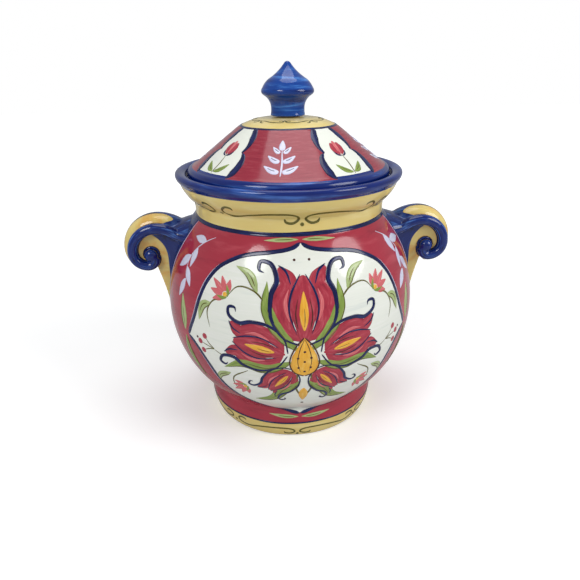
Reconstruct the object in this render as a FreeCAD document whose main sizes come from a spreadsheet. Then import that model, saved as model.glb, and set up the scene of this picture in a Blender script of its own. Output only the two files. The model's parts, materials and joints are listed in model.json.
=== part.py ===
import FreeCAD, Part
import math
import os
import Sketcher
from FreeCAD import Vector

# A glazed earthenware biscuit jar with two scroll handles and a lift-off lid.
# Millimetres, +Z up, origin at the centre of the foot, handles along X, the front towards -Y.

# Driving dimensions of the jar, each set once here.
SIZES = {
    # Pot, outside
    "foot_base_radius": 66.8,
    "foot_top_radius": 69.2,
    "foot_band_height": 27.5,
    "foot_band_swell": 2.6,
    "belly_radius": 100.6,
    "belly_level": 98.0,
    "shoulder_radius": 76.0,
    "shoulder_level": 170.0,
    "neck_radius": 73.8,
    "neck_foot_rise": 4.0,
    "neck_foot_hollow": 0.5,
    "neck_lean": 0.4,
    "collar_rise": 13.0,
    "collar_top_radius": 84.6,
    "collar_flare_rise": 14.4,
    "collar_swell": 1.6,
    "lip_radius": 87.4,
    "lip_rise": 7.9,
    "lip_side_rise": 4.345,
    "lip_side_swell": 0.6,
    "lip_top_inset": 0.6,
    "lip_top_swell": 1.3,
    "lip_inner_drop": 2.0,
    "lip_inner_swell": 0.5,
    # Pot, inside
    "wall": 6.0,
    "floor_level": 10.0,
    "foot_ring_width": 8.0,
    "foot_recess": 3.0,
    "inner_foot_radius": 60.0,
    "cove_radius": 8.0,
    "mouth_radius": 67.5,
    "ledge_drop": 7.6,
    # Lid
    "lid_edge_play": 0.9,
    "lid_seat_play": 0.2,
    "lid_band_rise": 5.6,
    "lid_band_inset": 4.8,
    "lid_band_height": 10.2,
    "lid_band_swell": 1.5,
    "crown_radius": 38.0,
    "crown_rise": 37.6,
    "crown_dome_rise": 6.6,
    "crown_swell": 1.7,
    "lid_wall": 5.5,
    "flange_play": 2.4,
    "flange_wall": 6.5,
    "flange_depth": 18.0,
    # Sealing ring and its groove
    "seal_drop": 7.0,
    "seal_height": 4.6,
    "seal_play": 0.25,
    "groove_depth": 3.2,
    "seal_bore_play": 0.3,
    "seal_lip": 1.2,
    # Knob
    "knob_seat_radius": 13.4,
    "knob_waist_radius": 12.6,
    "knob_waist_rise": 4.6,
    "knob_waist_swell": 0.25,
    "knob_under_radius": 18.1,
    "knob_under_rise": 14.8,
    "knob_under_hollow": 1.8,
    "knob_over_radius": 18.8,
    "knob_over_rise": 19.8,
    "knob_side_swell": 1.3,
    "knob_shoulder_radius": 14.0,
    "knob_shoulder_rise": 26.0,
    "knob_shoulder_swell": 0.5,
    "knob_height": 37.9,
    "knob_tip_radius": 3.0,
    "knob_tip_turn": 45.0,
    "knob_tip_hollow": 0.9,
    # Scroll handles
    "scroll_top_x": 105.2,
    "scroll_top_level": 162.4,
    "root_burial": 14.0,
    "root_bend": 16.0,
    "shoulder_bend": 26.0,
    "root_angle": 35.0,
    "first_turn": 18.8,
    "second_turn": 11.4,
    "third_turn": 6.2,
    "scroll_width": 38.0,
    "bead_radius": 4.3,
    "ridge_half_width": 10.8,
    "ridge_half_height": 7.1,
    "ridge_rise": 2.2,
    "flute_rise": 2.2,
    "web_thickness": 24.0,
    "web_leave_turn": 115.0,
    "eye_radius": 5.2,
    "eye_forward": 3.41,
    "eye_rise": 2.79,
    "eye_proud": 0.5,
    "tail_tip_level": 99.0,
    "tail_tip_sink": 1.5,
    "tail_swell": 0.3,
    # Root flare, three ovals from inside the pot's wall out along the strap
    "flare_pot_sink": 4.0,
    "flare_pot_height": 17.0,
    "flare_pot_spread": 9.0,
    "flare_pot_drop": 1.0,
    "flare_middle_reach": 6.0,
    "flare_middle_height": 11.5,
    "flare_middle_spread": 3.0,
    "flare_middle_lift": 0.5,
    "flare_strap_setback": 10.0,
    "flare_strap_height": 5.0,
    "flare_strap_inset": 2.0,
    "flare_strap_lift": 3.5,
}

doc = FreeCAD.newDocument("biscuit_jar")
sheet = doc.addObject("Spreadsheet::Sheet", "Sheet")
sheet_rows = []


def put(name, value):
    """Write one number into the sheet under its alias and give the number back."""
    sheet_rows.append(name)
    cell = "B%d" % len(sheet_rows)
    sheet.set("A%d" % len(sheet_rows), name)
    sheet.set(cell, "%.9f" % value)
    sheet.setAlias(cell, name)
    return value


for size_name, size_value in SIZES.items():
    put(size_name, size_value)


def size(name):
    return SIZES[name]


class Outline:
    """A closed sketch of named stations, each tied to two cells of the sheet."""

    def __init__(self, body, name, role="XZ_Plane"):
        self.body = body
        self.name = name
        self.sketch = body.newObject("Sketcher::SketchObject", name)
        plane = [f for f in body.Origin.OriginFeatures if f.Role == role][0]
        self.sketch.AttachmentSupport = [(plane, "")]
        self.sketch.MapMode = "FlatFace"
        self.edges = []
        self.stations = []

    def start(self, name, across, up):
        self.stations.append((name, across, up))
        return self

    def line(self, name, across, up):
        self.edges.append(("line", 0.0))
        return self.start(name, across, up)

    def arc(self, name, across, up, swell):
        """An arc to the next station; swell is its rise to the left of the way there."""
        self.edges.append(("arc", swell))
        return self.start(name, across, up)

    def close(self):
        self.edges.append(("line", 0.0))
        return self.draw()

    def draw(self):
        count = len(self.stations)
        ends = []
        for index, (form, swell) in enumerate(self.edges):
            here = Vector(*self.stations[index][1:], 0)
            there = Vector(*self.stations[(index + 1) % count][1:], 0)
            if form == "line":
                self.sketch.addGeometry(Part.LineSegment(here, there), False)
                ends.append((1, 2))
            else:
                ends.append(self.add_arc(here, there, swell, index))
        for index, (name, across, up) in enumerate(self.stations):
            first, last = ends[index], ends[index - 1]
            before = (index - 1) % count
            self.sketch.addConstraint(
                Sketcher.Constraint("Coincident", before, last[1], index, first[0]))
            self.tie(name + "_x", across, "DistanceX", index, first[0], -2)
            self.tie(name + "_z", up, "DistanceY", index, first[0], -1)
        return self.sketch

    def add_arc(self, here, there, swell, index):
        chord = there - here
        half = chord.Length / 2
        rise = abs(swell)
        radius = (half * half + rise * rise) / (2 * rise)
        left = Vector(-chord.y, chord.x, 0).normalize()
        side = 1 if swell > 0 else -1
        centre = (here + there) * 0.5 + left * (side * (rise - radius))
        begin = math.atan2(here.y - centre.y, here.x - centre.x)
        end = math.atan2(there.y - centre.y, there.x - centre.x)
        circle = Part.Circle(centre, Vector(0, 0, 1), radius)
        forward = side < 0
        if forward:
            arc = Part.ArcOfCircle(circle, begin, end)
        else:
            arc = Part.ArcOfCircle(circle, end, begin)
        self.sketch.addGeometry(arc, False)
        row = self.sketch.addConstraint(Sketcher.Constraint("Radius", index, radius))
        alias = "%s_%s_radius" % (self.name, self.stations[index][0])
        put(alias, radius)
        self.sketch.setExpression("Constraints[%d]" % row, "Sheet." + alias)
        return (1, 2) if forward else (2, 1)

    def tie(self, name, value, kind, edge, point, axis):
        if abs(value) < 1e-9:
            self.sketch.addConstraint(
                Sketcher.Constraint("PointOnObject", edge, point, axis))
            return
        row = self.sketch.addConstraint(
            Sketcher.Constraint(kind, -1, 1, edge, point, value))
        alias = "%s_%s" % (self.name, name)
        put(alias, value)
        self.sketch.setExpression("Constraints[%d]" % row, "Sheet." + alias)


def new_body(name):
    body = doc.addObject("PartDesign::Body", name)
    body.Label = name
    return body


def spin(body, sketch, name):
    """Turn an outline once round the jar's own axis."""
    doc.recompute()
    turned = body.newObject("PartDesign::Revolution", name)
    turned.Profile = sketch
    turned.ReferenceAxis = (sketch, ["V_Axis"])
    turned.Angle = 360.0
    sketch.Visibility = False
    return turned


def swell_for(radius, chord):
    """The rise of an arc of a given radius over a chord."""
    return radius - math.sqrt(radius * radius - chord * chord / 4)


# Levels and radii that follow from the driving dimensions
foot_inner = size("foot_base_radius") - size("foot_ring_width")
neck_foot = size("shoulder_level") + size("neck_foot_rise")
collar_crease = neck_foot + size("collar_rise") - size("neck_foot_rise")
collar_top = collar_crease + size("collar_flare_rise")
rim_level = collar_top + size("lip_rise")
ledge_level = rim_level - size("ledge_drop")
seat_level = ledge_level + size("lid_seat_play")
lid_radius = size("collar_top_radius") - size("wall") - size("lid_edge_play")
ledge_radius = lid_radius + size("lid_edge_play")
crown_level = seat_level + size("crown_rise")
knob_seat = crown_level + size("crown_dome_rise")


def belly_arc(radius_out, level_out):
    """Radius of the belly's arc, upright at its widest, through one outer point."""
    inset = size("belly_radius") - radius_out
    rise = level_out - size("belly_level")
    return (inset * inset + rise * rise) / (2 * inset)


lower_arc = belly_arc(size("foot_top_radius"), size("foot_band_height"))
upper_arc = belly_arc(size("shoulder_radius"), size("shoulder_level"))


def level_on_arc(arc_radius, outer_radius, across):
    """Height above or below the widest level where an inner belly arc reaches a radius."""
    centre = size("belly_radius") - arc_radius
    inner = arc_radius - (size("belly_radius") - outer_radius)
    return math.sqrt(inner * inner - (across - centre) ** 2), inner


def outer_stations(outline):
    """The pot's outside from the foot to the collar's top, shared with the handles."""
    foot = size("foot_base_radius")
    outline.arc("foot_top", size("foot_top_radius"), size("foot_band_height"),
                -size("foot_band_swell"))
    chord = math.hypot(size("belly_radius") - size("foot_top_radius"),
                       size("belly_level") - size("foot_band_height"))
    outline.arc("belly", size("belly_radius"), size("belly_level"),
                -swell_for(lower_arc, chord))
    chord = math.hypot(size("belly_radius") - size("shoulder_radius"),
                       size("shoulder_level") - size("belly_level"))
    outline.arc("shoulder", size("shoulder_radius"), size("shoulder_level"),
                -swell_for(upper_arc, chord))
    outline.arc("neck_foot", size("neck_radius"), neck_foot, size("neck_foot_hollow"))
    outline.line("crease", size("neck_radius") + size("neck_lean"), collar_crease)
    outline.arc("collar_top", size("collar_top_radius"), collar_top, -size("collar_swell"))
    return outline


def make_pot():
    body = new_body("jar_pot")
    outline = Outline(body, "pot_profile")
    outline.start("recess_centre", 0.0, size("foot_recess"))
    outline.line("recess_edge", foot_inner - size("foot_recess"), size("foot_recess"))
    outline.line("ring_inner", foot_inner, 0.0)
    outline.line("foot_base", size("foot_base_radius"), 0.0)
    outer_stations(outline)
    outline.arc("lip_side", size("lip_radius"), collar_top + size("lip_side_rise"),
                -size("lip_side_swell"))
    outline.arc("lip_top", size("collar_top_radius") - size("lip_top_inset"), rim_level,
                -size("lip_top_swell"))
    outline.arc("lip_inner", ledge_radius, rim_level - size("lip_inner_drop"),
                -size("lip_inner_swell"))
    outline.line("ledge_outer", ledge_radius, ledge_level)
    outline.line("ledge_inner", size("mouth_radius"), ledge_level)
    inner_belly = size("belly_radius") - size("wall")
    drop, inner = level_on_arc(upper_arc, inner_belly, size("mouth_radius"))
    upper = size("belly_level") + drop
    outline.line("bore_foot", size("mouth_radius"), upper)
    chord = math.hypot(inner_belly - size("mouth_radius"), drop)
    outline.arc("inner_belly", inner_belly, size("belly_level"), swell_for(inner, chord))
    corner = size("foot_top_radius") - size("wall")
    drop, inner = level_on_arc(lower_arc, inner_belly, corner)
    chord = math.hypot(inner_belly - corner, drop)
    outline.arc("inner_corner", corner, size("belly_level") - drop, swell_for(inner, chord))
    cove = size("cove_radius")
    outline.line("cove_top", size("inner_foot_radius"), size("floor_level") + cove)
    outline.arc("cove_foot", size("inner_foot_radius") - cove, size("floor_level"),
                cove * (1 - math.sqrt(0.5)))
    outline.line("floor_centre", 0.0, size("floor_level"))
    spin(body, outline.close(), "pot_turned")
    return body


def pot_cutter():
    """The space the pot fills, its outside closed up to the rim, which the handles meet."""
    body = new_body("pot_outside")
    outline = Outline(body, "outside_profile")
    outline.start("axis_low", 0.0, 0.0)
    outline.line("foot_base", size("foot_base_radius"), 0.0)
    outer_stations(outline)
    outline.line("axis_high", 0.0, collar_top)
    spin(body, outline.close(), "outside_turned")
    return body


def make_lid():
    body = new_body("lid_shell")
    outline = Outline(body, "lid_profile")
    flange_outer = size("mouth_radius") - size("flange_play")
    flange_inner = flange_outer - size("flange_wall")
    groove_inner = flange_outer - size("groove_depth")
    flange_end = seat_level - size("flange_depth")
    groove_top = seat_level - size("seal_drop")
    groove_end = groove_top - size("seal_height") - 2 * size("seal_play")
    band_top = seat_level + size("lid_band_height")
    slope = (crown_level - band_top) / (lid_radius - size("lid_band_inset") - size("crown_radius"))
    under = size("lid_wall") * math.hypot(1.0, slope)
    outline.start("crown_top", 0.0, knob_seat)
    outline.line("inner_crown", 0.0, knob_seat - size("lid_wall"))
    outline.line("inner_crown_edge", size("knob_seat_radius"), knob_seat - size("lid_wall"))
    outline.arc("inner_slope", size("crown_radius") - size("lid_wall") / 2,
                crown_level - under + slope * size("lid_wall") / 2, size("crown_swell"))
    shade = crown_level - under - slope * (flange_inner - size("crown_radius"))
    outline.line("inner_wall", flange_inner, shade)
    outline.line("flange_inner", flange_inner, flange_end)
    outline.line("flange_outer", flange_outer, flange_end)
    outline.line("groove_low", flange_outer, groove_end)
    outline.line("groove_low_in", groove_inner, groove_end)
    outline.line("groove_high_in", groove_inner, groove_top)
    outline.line("groove_high", flange_outer, groove_top)
    outline.line("seat_inner", flange_outer, seat_level)
    outline.line("seat_outer", lid_radius, seat_level)
    outline.line("band_low", lid_radius, seat_level + size("lid_band_rise"))
    outline.arc("band_top", lid_radius - size("lid_band_inset"), band_top, -size("lid_band_swell"))
    outline.line("crown_edge", size("crown_radius"), crown_level)
    outline.arc("knob_edge", size("knob_seat_radius"), knob_seat, -size("crown_swell"))
    spin(body, outline.close(), "lid_turned")
    return body


def make_seal():
    body = new_body("lid_seal")
    outline = Outline(body, "seal_profile")
    flange_outer = size("mouth_radius") - size("flange_play")
    inner = flange_outer - size("groove_depth") + size("seal_play")
    outer = size("mouth_radius") - size("seal_bore_play")
    top = seat_level - size("seal_drop") - size("seal_play")
    foot = top - size("seal_height")
    outline.start("inner_foot", inner, foot)
    lip = size("seal_lip")
    outline.line("outer_foot", outer - lip, foot)
    outline.arc("outer_top", outer - lip, top, -lip)
    outline.line("inner_top", inner, top)
    spin(body, outline.close(), "seal_turned")
    return body


def make_knob():
    body = new_body("lid_knob")
    outline = Outline(body, "knob_profile")
    outline.start("seat_centre", 0.0, knob_seat)
    outline.line("seat_edge", size("knob_seat_radius"), knob_seat)
    outline.arc("waist", size("knob_waist_radius"), knob_seat + size("knob_waist_rise"),
                size("knob_waist_swell"))
    outline.arc("under_bulb", size("knob_under_radius"), knob_seat + size("knob_under_rise"),
                size("knob_under_hollow"))
    outline.arc("bulb", size("knob_over_radius"), knob_seat + size("knob_over_rise"),
                -size("knob_side_swell"))
    outline.arc("shoulder", size("knob_shoulder_radius"),
                knob_seat + size("knob_shoulder_rise"), -size("knob_shoulder_swell"))
    tip = size("knob_tip_radius")
    tip_turn = math.radians(size("knob_tip_turn"))
    top = knob_seat + size("knob_height")
    outline.arc("tip_foot", tip * math.cos(tip_turn), top - tip * (1 - math.sin(tip_turn)),
                size("knob_tip_hollow"))
    outline.arc("tip", 0.0, top, -tip * (1 - math.cos(tip_turn / 2)))
    spin(body, outline.close(), "knob_turned")
    return body


def volute(offset):
    """Points and centres of the strap's run, a given distance outside its centre line.

    A level stretch out of the pot, a hollow bend up, a bend over the top, then three
    shrinking quarter turns that curl the end in under itself.
    """
    angle = math.radians(size("root_angle"))
    top = Vector(size("scroll_top_x"), 0, size("scroll_top_level"))
    over = top - Vector(0, 0, size("shoulder_bend"))
    lean = Vector(-math.sin(angle), 0, math.cos(angle))
    start_over = over + lean * size("shoulder_bend")
    hollow = start_over + lean * size("root_bend")
    side = Vector(1, 0, 0)
    centre_1 = top - Vector(0, 0, size("first_turn"))
    outer = centre_1 + side * size("first_turn")
    centre_2 = outer - side * size("second_turn")
    low = centre_2 - Vector(0, 0, size("second_turn"))
    centre_3 = low + Vector(0, 0, size("third_turn"))
    bends = [
        (hollow, size("root_bend") - offset, 270, 270 + size("root_angle")),
        (over, size("shoulder_bend") + offset, 90 + size("root_angle"), 90),
        (centre_1, size("first_turn") + offset, 90, 0),
        (centre_2, size("second_turn") + offset, 0, -90),
        (centre_3, size("third_turn") + offset, -90, -180),
    ]
    return bends


def on_bend(bend, turn):
    centre, radius = bend[0], bend[1]
    way = math.radians(turn)
    return centre + Vector(math.cos(way), 0, math.sin(way)) * radius


def bend_edge(bend, start=None, end=None):
    first = bend[2] if start is None else start
    last = bend[3] if end is None else end
    return Part.Arc(on_bend(bend, first), on_bend(bend, (first + last) / 2),
                    on_bend(bend, last)).toShape()


def strap_path(offset, across, bends_used):
    """The strap's run as a wire, moved across the strap."""
    bends = volute(offset)
    start = on_bend(bends[0], bends[0][2])
    buried = Vector(size("neck_radius") - size("root_burial"), 0, start.z)
    edges = [Part.LineSegment(buried, start).toShape()]
    edges += [bend_edge(bend) for bend in bends[:bends_used]]
    wire = Part.Wire(edges)
    wire.translate(Vector(0, across, 0))
    return wire, buried + Vector(0, across, 0)


def upright_oval(centre, half_width, half_height):
    """An oval wire across the strap's run, its width along Y."""
    oval = Part.Ellipse(Vector(0, 0, 0), half_width, half_height).toShape()
    turn = FreeCAD.Rotation(Vector(0, 1, 0), Vector(0, 0, 1), Vector(1, 0, 0), "XYZ")
    oval.Placement = FreeCAD.Placement(centre, turn)
    return Part.Wire([oval])


def bead(across):
    """A round rib of clay that follows one side of the strap into the eye."""
    path, start = strap_path(0, across, 5)
    ring = Part.Wire([Part.Circle(start, Vector(1, 0, 0), size("bead_radius")).toShape()])
    return path.makePipeShell([ring], True, False)


def ridge():
    """The raised middle of the strap, which leaves a flute beside each bead."""
    path, start = strap_path(size("ridge_rise"), 0, 4)
    oval = upright_oval(start, size("ridge_half_width"), size("ridge_half_height"))
    return path.makePipeShell([oval], True, False)


def slab(wire, thickness):
    face = Part.Face(wire)
    solid = face.extrude(Vector(0, thickness, 0))
    solid.translate(Vector(0, -thickness / 2, 0))
    return solid


def strap_band():
    """The strap between its beads, whose outer face is the floor of the two flutes."""
    outer, outer_start = strap_path(size("flute_rise"), 0, 5)
    inner, inner_start = strap_path(-size("flute_rise"), 0, 5)
    outer_end = outer.OrderedVertexes[-1].Point
    inner_end = inner.OrderedVertexes[-1].Point
    edges = outer.Edges + inner.Edges
    edges.append(Part.LineSegment(outer_end, inner_end).toShape())
    edges.append(Part.LineSegment(inner_start, outer_start).toShape())
    wire = Part.Wire(Part.__sortEdges__(edges))
    return slab(wire, size("scroll_width") - 2 * size("bead_radius"))


def web():
    """The recessed web that fills the scroll and runs down the belly as a tail."""
    bends = volute(size("flute_rise"))
    leave = -size("web_leave_turn")
    start = on_bend(bends[0], bends[0][2])
    buried_x = size("neck_radius") - size("root_burial")
    tip_inset = size("belly_radius") - upper_arc
    rise = size("tail_tip_level") - size("belly_level")
    tip_x = tip_inset + math.sqrt(upper_arc ** 2 - rise ** 2) - size("tail_tip_sink")
    tip = Vector(tip_x, 0, size("tail_tip_level"))
    leave_point = on_bend(bends[3], leave)
    middle = (tip + leave_point) * 0.5 - Vector(size("tail_swell"), 0, 0)
    edges = [Part.LineSegment(Vector(buried_x, 0, start.z), start).toShape()]
    edges += [bend_edge(bend) for bend in bends[:3]]
    edges.append(bend_edge(bends[3], 0, leave))
    edges.append(Part.Arc(leave_point, middle, tip).toShape())
    corner = Vector(buried_x, 0, size("tail_tip_level"))
    edges.append(Part.LineSegment(tip, corner).toShape())
    edges.append(Part.LineSegment(corner, Vector(buried_x, 0, start.z)).toShape())
    return slab(Part.Wire(edges), size("web_thickness"))


def root_flare():
    """The trumpet of clay that spreads the strap onto the shoulder."""
    start = on_bend(volute(0)[0], 270)
    half_width = size("scroll_width") / 2
    rings = [
        upright_oval(Vector(size("neck_radius") - size("flare_pot_sink"), 0,
                            start.z - size("flare_pot_drop")),
                     half_width + size("flare_pot_spread"), size("flare_pot_height")),
        upright_oval(Vector(size("shoulder_radius") + size("flare_middle_reach"), 0,
                            start.z + size("flare_middle_lift")),
                     half_width + size("flare_middle_spread"), size("flare_middle_height")),
        upright_oval(Vector(size("scroll_top_x") - size("flare_strap_setback"), 0,
                            start.z + size("flare_strap_lift")),
                     half_width - size("flare_strap_inset"), size("flare_strap_height")),
    ]
    return Part.makeLoft(rings, True, False)


def make_handles(outside):
    """One scroll handle, cut to the pot's outside, and its twin across the jar."""
    half = size("scroll_width") / 2 - size("bead_radius")
    pieces = [web(), strap_band(), root_flare(), bead(-half), bead(half), ridge()]
    end = on_bend(volute(0)[4], -180)
    eye = end + Vector(size("eye_forward"), 0, size("eye_rise"))
    eye_run = half + size("eye_proud")
    pieces.append(Part.makeCylinder(size("eye_radius"), 2 * eye_run,
                                    eye - Vector(0, eye_run, 0), Vector(0, 1, 0)))
    for side in (-1, 1):
        pieces.append(Part.makeSphere(size("eye_radius"), eye + Vector(0, side * eye_run, 0)))
    whole = pieces[0].multiFuse(pieces[1:])
    trimmed = whole.cut(outside.Shape)
    solid = max(trimmed.Solids, key=lambda one: one.Volume)
    right = doc.addObject("Part::Feature", "handle_right")
    right.Shape = solid.removeSplitter()
    right.Label = "handle_right"
    left = doc.addObject("Part::Mirroring", "handle_left")
    left.Source = right
    left.Base = Vector(0, 0, 0)
    left.Normal = Vector(1, 0, 0)
    left.Label = "handle_left"
    return right, left


pot = make_pot()
outside = pot_cutter()
lid = make_lid()
seal = make_seal()
knob = make_knob()
doc.recompute()
handle_right, handle_left = make_handles(outside)
doc.recompute()

for item in doc.Objects:
    if "Invalid" in item.State or "Error" in item.State:
        raise RuntimeError("%s did not build: %s" % (item.Label, item.State))

os.makedirs("parts", exist_ok=True)
subparts = [pot, handle_left, handle_right, lid, knob, seal]
for item in subparts:
    shape = item.Shape
    if shape.isNull() or not shape.isValid() or len(shape.Solids) != 1:
        raise RuntimeError("%s is not one valid solid" % item.Label)
    shape.exportStep("parts/%s.step" % item.Label)
    box = shape.BoundBox
    print("%-13s %9.0f mm3  x %.1f to %.1f  y %.1f to %.1f  z %.1f to %.1f" % (
        item.Label, shape.Volume, box.XMin, box.XMax, box.YMin, box.YMax, box.ZMin, box.ZMax))
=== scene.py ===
import json
import math

import bmesh
import bpy
import numpy as np
from bpy.props import (FloatProperty, FloatVectorProperty, IntProperty, PointerProperty)
from mathutils import Matrix, Vector

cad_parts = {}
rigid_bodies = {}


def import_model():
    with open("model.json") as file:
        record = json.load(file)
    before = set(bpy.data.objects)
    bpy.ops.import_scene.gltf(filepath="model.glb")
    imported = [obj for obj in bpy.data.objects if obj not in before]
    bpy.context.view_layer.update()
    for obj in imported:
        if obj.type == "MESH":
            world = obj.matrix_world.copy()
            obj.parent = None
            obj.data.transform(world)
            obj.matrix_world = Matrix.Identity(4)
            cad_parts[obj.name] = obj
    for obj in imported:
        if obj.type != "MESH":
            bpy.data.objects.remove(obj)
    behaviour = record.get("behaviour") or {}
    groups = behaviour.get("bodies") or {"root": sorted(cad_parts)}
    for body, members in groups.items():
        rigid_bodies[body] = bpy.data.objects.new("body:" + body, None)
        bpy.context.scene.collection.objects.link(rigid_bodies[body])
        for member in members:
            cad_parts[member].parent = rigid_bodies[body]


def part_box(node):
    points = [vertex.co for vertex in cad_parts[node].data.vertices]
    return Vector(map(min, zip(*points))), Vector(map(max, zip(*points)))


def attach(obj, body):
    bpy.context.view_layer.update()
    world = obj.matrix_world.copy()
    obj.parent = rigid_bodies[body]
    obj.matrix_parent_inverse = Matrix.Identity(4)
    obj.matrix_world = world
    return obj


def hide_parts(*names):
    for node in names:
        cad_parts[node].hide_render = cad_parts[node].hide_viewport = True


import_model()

bl_info = {
    "name": "Painted Biscuit Jar",
    "version": (1, 0, 0),
    "blender": (4, 5, 0),
    "location": "3D View > Sidebar > Biscuit Jar",
    "description": "A hand-painted earthenware jar with scroll handles and a lift-off lid",
    "category": "Object",
}

# Everything is built at the origin in metres; the potter's sizes below are in millimetres.
MM = 0.001
TURN = 2 * math.pi


def mm(name, description, default):
    return FloatProperty(name=name, description=description + ", in millimetres",
                         default=default, soft_min=0.0)


def colour(name, description, default):
    return FloatVectorProperty(name=name, description=description, default=default,
                               subtype="COLOR_GAMMA", size=3, min=0.0, max=1.0)


class JarSizes(bpy.types.PropertyGroup):
    foot_base_radius: mm("Foot radius", "Radius of the foot on the table", 66.8)
    foot_top_radius: mm("Foot top radius", "Radius where the belly leaves the foot", 69.2)
    foot_band_height: mm("Foot height", "Height of the foot band", 27.5)
    belly_radius: mm("Belly radius", "Widest radius of the pot", 100.6)
    belly_level: mm("Belly level", "Height of the widest place", 98.0)
    shoulder_radius: mm("Shoulder radius", "Radius at the top of the shoulder", 76.0)
    shoulder_level: mm("Shoulder level", "Height of the top of the shoulder", 170.0)
    neck_radius: mm("Neck radius", "Narrowest radius of the neck", 73.8)
    crease_level: mm("Crease level", "Height where the collar starts to flare", 183.0)
    collar_top_radius: mm("Collar radius", "Radius at the top of the collar", 84.6)
    collar_top_level: mm("Collar top", "Height of the collar's top edge", 197.4)
    lip_radius: mm("Lip radius", "Widest radius of the rolled lip", 87.4)
    lip_rise: mm("Lip rise", "Height of the rolled lip", 7.9)
    mouth_radius: mm("Mouth radius", "Radius of the bore under the ledge", 67.5)
    wall: mm("Wall", "Thickness of the pot's wall", 6.0)
    ledge_depth: mm("Ledge depth", "Depth of the ledge under the rim", 7.6)
    throat_level: mm("Throat level", "Height where the bore opens into the belly", 170.9)
    upper_hollow: mm("Upper hollow", "Radius of the arc inside the shoulder", 111.7)
    lower_hollow: mm("Lower hollow", "Radius of the arc inside the lower belly", 88.8)
    bowl_level: mm("Bowl level", "Height where the belly's inside meets the foot's", 30.2)
    floor_level: mm("Floor level", "Height of the floor inside", 10.0)
    lid_radius: mm("Lid radius", "Radius of the lid's edge", 77.7)
    lid_seat: mm("Lid seat", "Height the lid's edge rests at", 197.9)
    crown_radius: mm("Crown radius", "Radius where the lid's slope meets its crown", 38.0)
    crown_level: mm("Crown level", "Height where the lid's slope meets its crown", 235.5)
    ceiling_radius: mm("Ceiling radius", "Radius where the lid's inside starts to slope", 35.25)
    ceiling_level: mm("Ceiling level", "Height where the lid's inside starts to slope", 230.7)
    flange_bore: mm("Flange bore", "Radius inside the flange", 58.6)
    flange_top: mm("Flange top", "Height where the flange's inside meets the slope", 212.3)
    flange_radius: mm("Flange radius", "Radius of the flange that enters the mouth", 65.1)
    flange_depth: mm("Flange depth", "Depth of the flange under the lid's edge", 18.0)
    groove_radius: mm("Groove radius", "Radius at the bottom of the ring's groove", 61.9)
    groove_foot: mm("Groove foot", "Height of the groove's lower side", 185.8)
    groove_top: mm("Groove top", "Height of the groove's upper side", 190.9)
    lid_wall: mm("Lid wall", "Thickness of the lid under the knob", 5.5)
    knob_seat_radius: mm("Knob seat radius", "Radius of the knob's foot", 13.4)
    knob_seat: mm("Knob seat", "Height of the knob's foot", 242.1)
    jar_height: mm("Height", "Height of the jar to the knob's tip", 280.0)


class HandleSizes(bpy.types.PropertyGroup):
    top_x: mm("Scroll top", "Distance of the scroll's top from the axis", 105.2)
    top_level: mm("Scroll level", "Height of the strap's centre at its top", 162.4)
    root_bend: mm("Root bend", "Radius of the hollow bend at the root", 16.0)
    shoulder_bend: mm("Shoulder bend", "Radius of the bend over the top", 26.0)
    root_angle: FloatProperty(name="Root angle", description="Slope of the strap at its root",
                              default=math.radians(35.0), subtype="ANGLE")
    first_turn: mm("First turn", "Radius of the first quarter turn", 18.8)
    second_turn: mm("Second turn", "Radius of the second quarter turn", 11.4)
    third_turn: mm("Third turn", "Radius of the third quarter turn", 6.2)
    width: mm("Width", "Width of the strap over its beads", 38.0)
    bead: mm("Bead", "Radius of the side beads", 4.3)
    ridge_width: mm("Ridge width", "Half the width of the strap's raised middle", 10.8)
    ridge_height: mm("Ridge height", "Half the height of the raised middle", 7.1)
    ridge_rise: mm("Ridge rise", "Height of the ridge's centre over the strap", 2.2)
    strap_half: mm("Strap half", "Half the thickness of the strap between its beads", 2.2)
    web: mm("Web", "Thickness of the recessed web", 24.0)
    eye: mm("Eye", "Radius of the scroll's eye", 5.2)
    tail_tip: mm("Tail tip", "Height of the tail's tip", 99.0)
    tail_reach: mm("Tail reach", "Distance of the tail's tip from the axis", 99.1)
    blue_tip: mm("Blue tip", "Where the root's cobalt ends on the ridge, from the axis", 91.5)
    blue_bay: mm("Blue bay", "Where the root's cobalt ends low on the web, from the axis", 97.2)
    voxel: mm("Clay grain", "Voxel size the clay is joined at", 0.75)


class BrushSizes(bpy.types.PropertyGroup):
    glaze_inset: mm("Glaze inset", "How far the ground lies under the thickest brushwork", 0.50)
    border_count: IntProperty(name="Border scrolls", default=4, min=2,
                              description="Pairs of scrolls round the collar and the foot")
    panel_count: IntProperty(name="Lid panels", default=4, min=1,
                             description="Number of crimson panels round the lid")
    panel_turn: FloatProperty(name="Lid turn", default=math.radians(-9.2), subtype="ANGLE",
                              description="Turn of the lid's front panel")
    frame_turn: FloatProperty(name="Frame turn", default=math.radians(1.0), subtype="ANGLE",
                              description="Turn of the front cartouche")
    bouquet_level: mm("Bouquet level", "Height of the bouquet's middle", 95.0)
    frame_line: mm("Frame line", "Width of the cartouche's line", 3.2)
    neck_line: mm("Neck line", "Width of the line round the neck", 3.2)
    scroll_line: mm("Scroll line", "Width of the border scrolls", 1.9)


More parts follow.
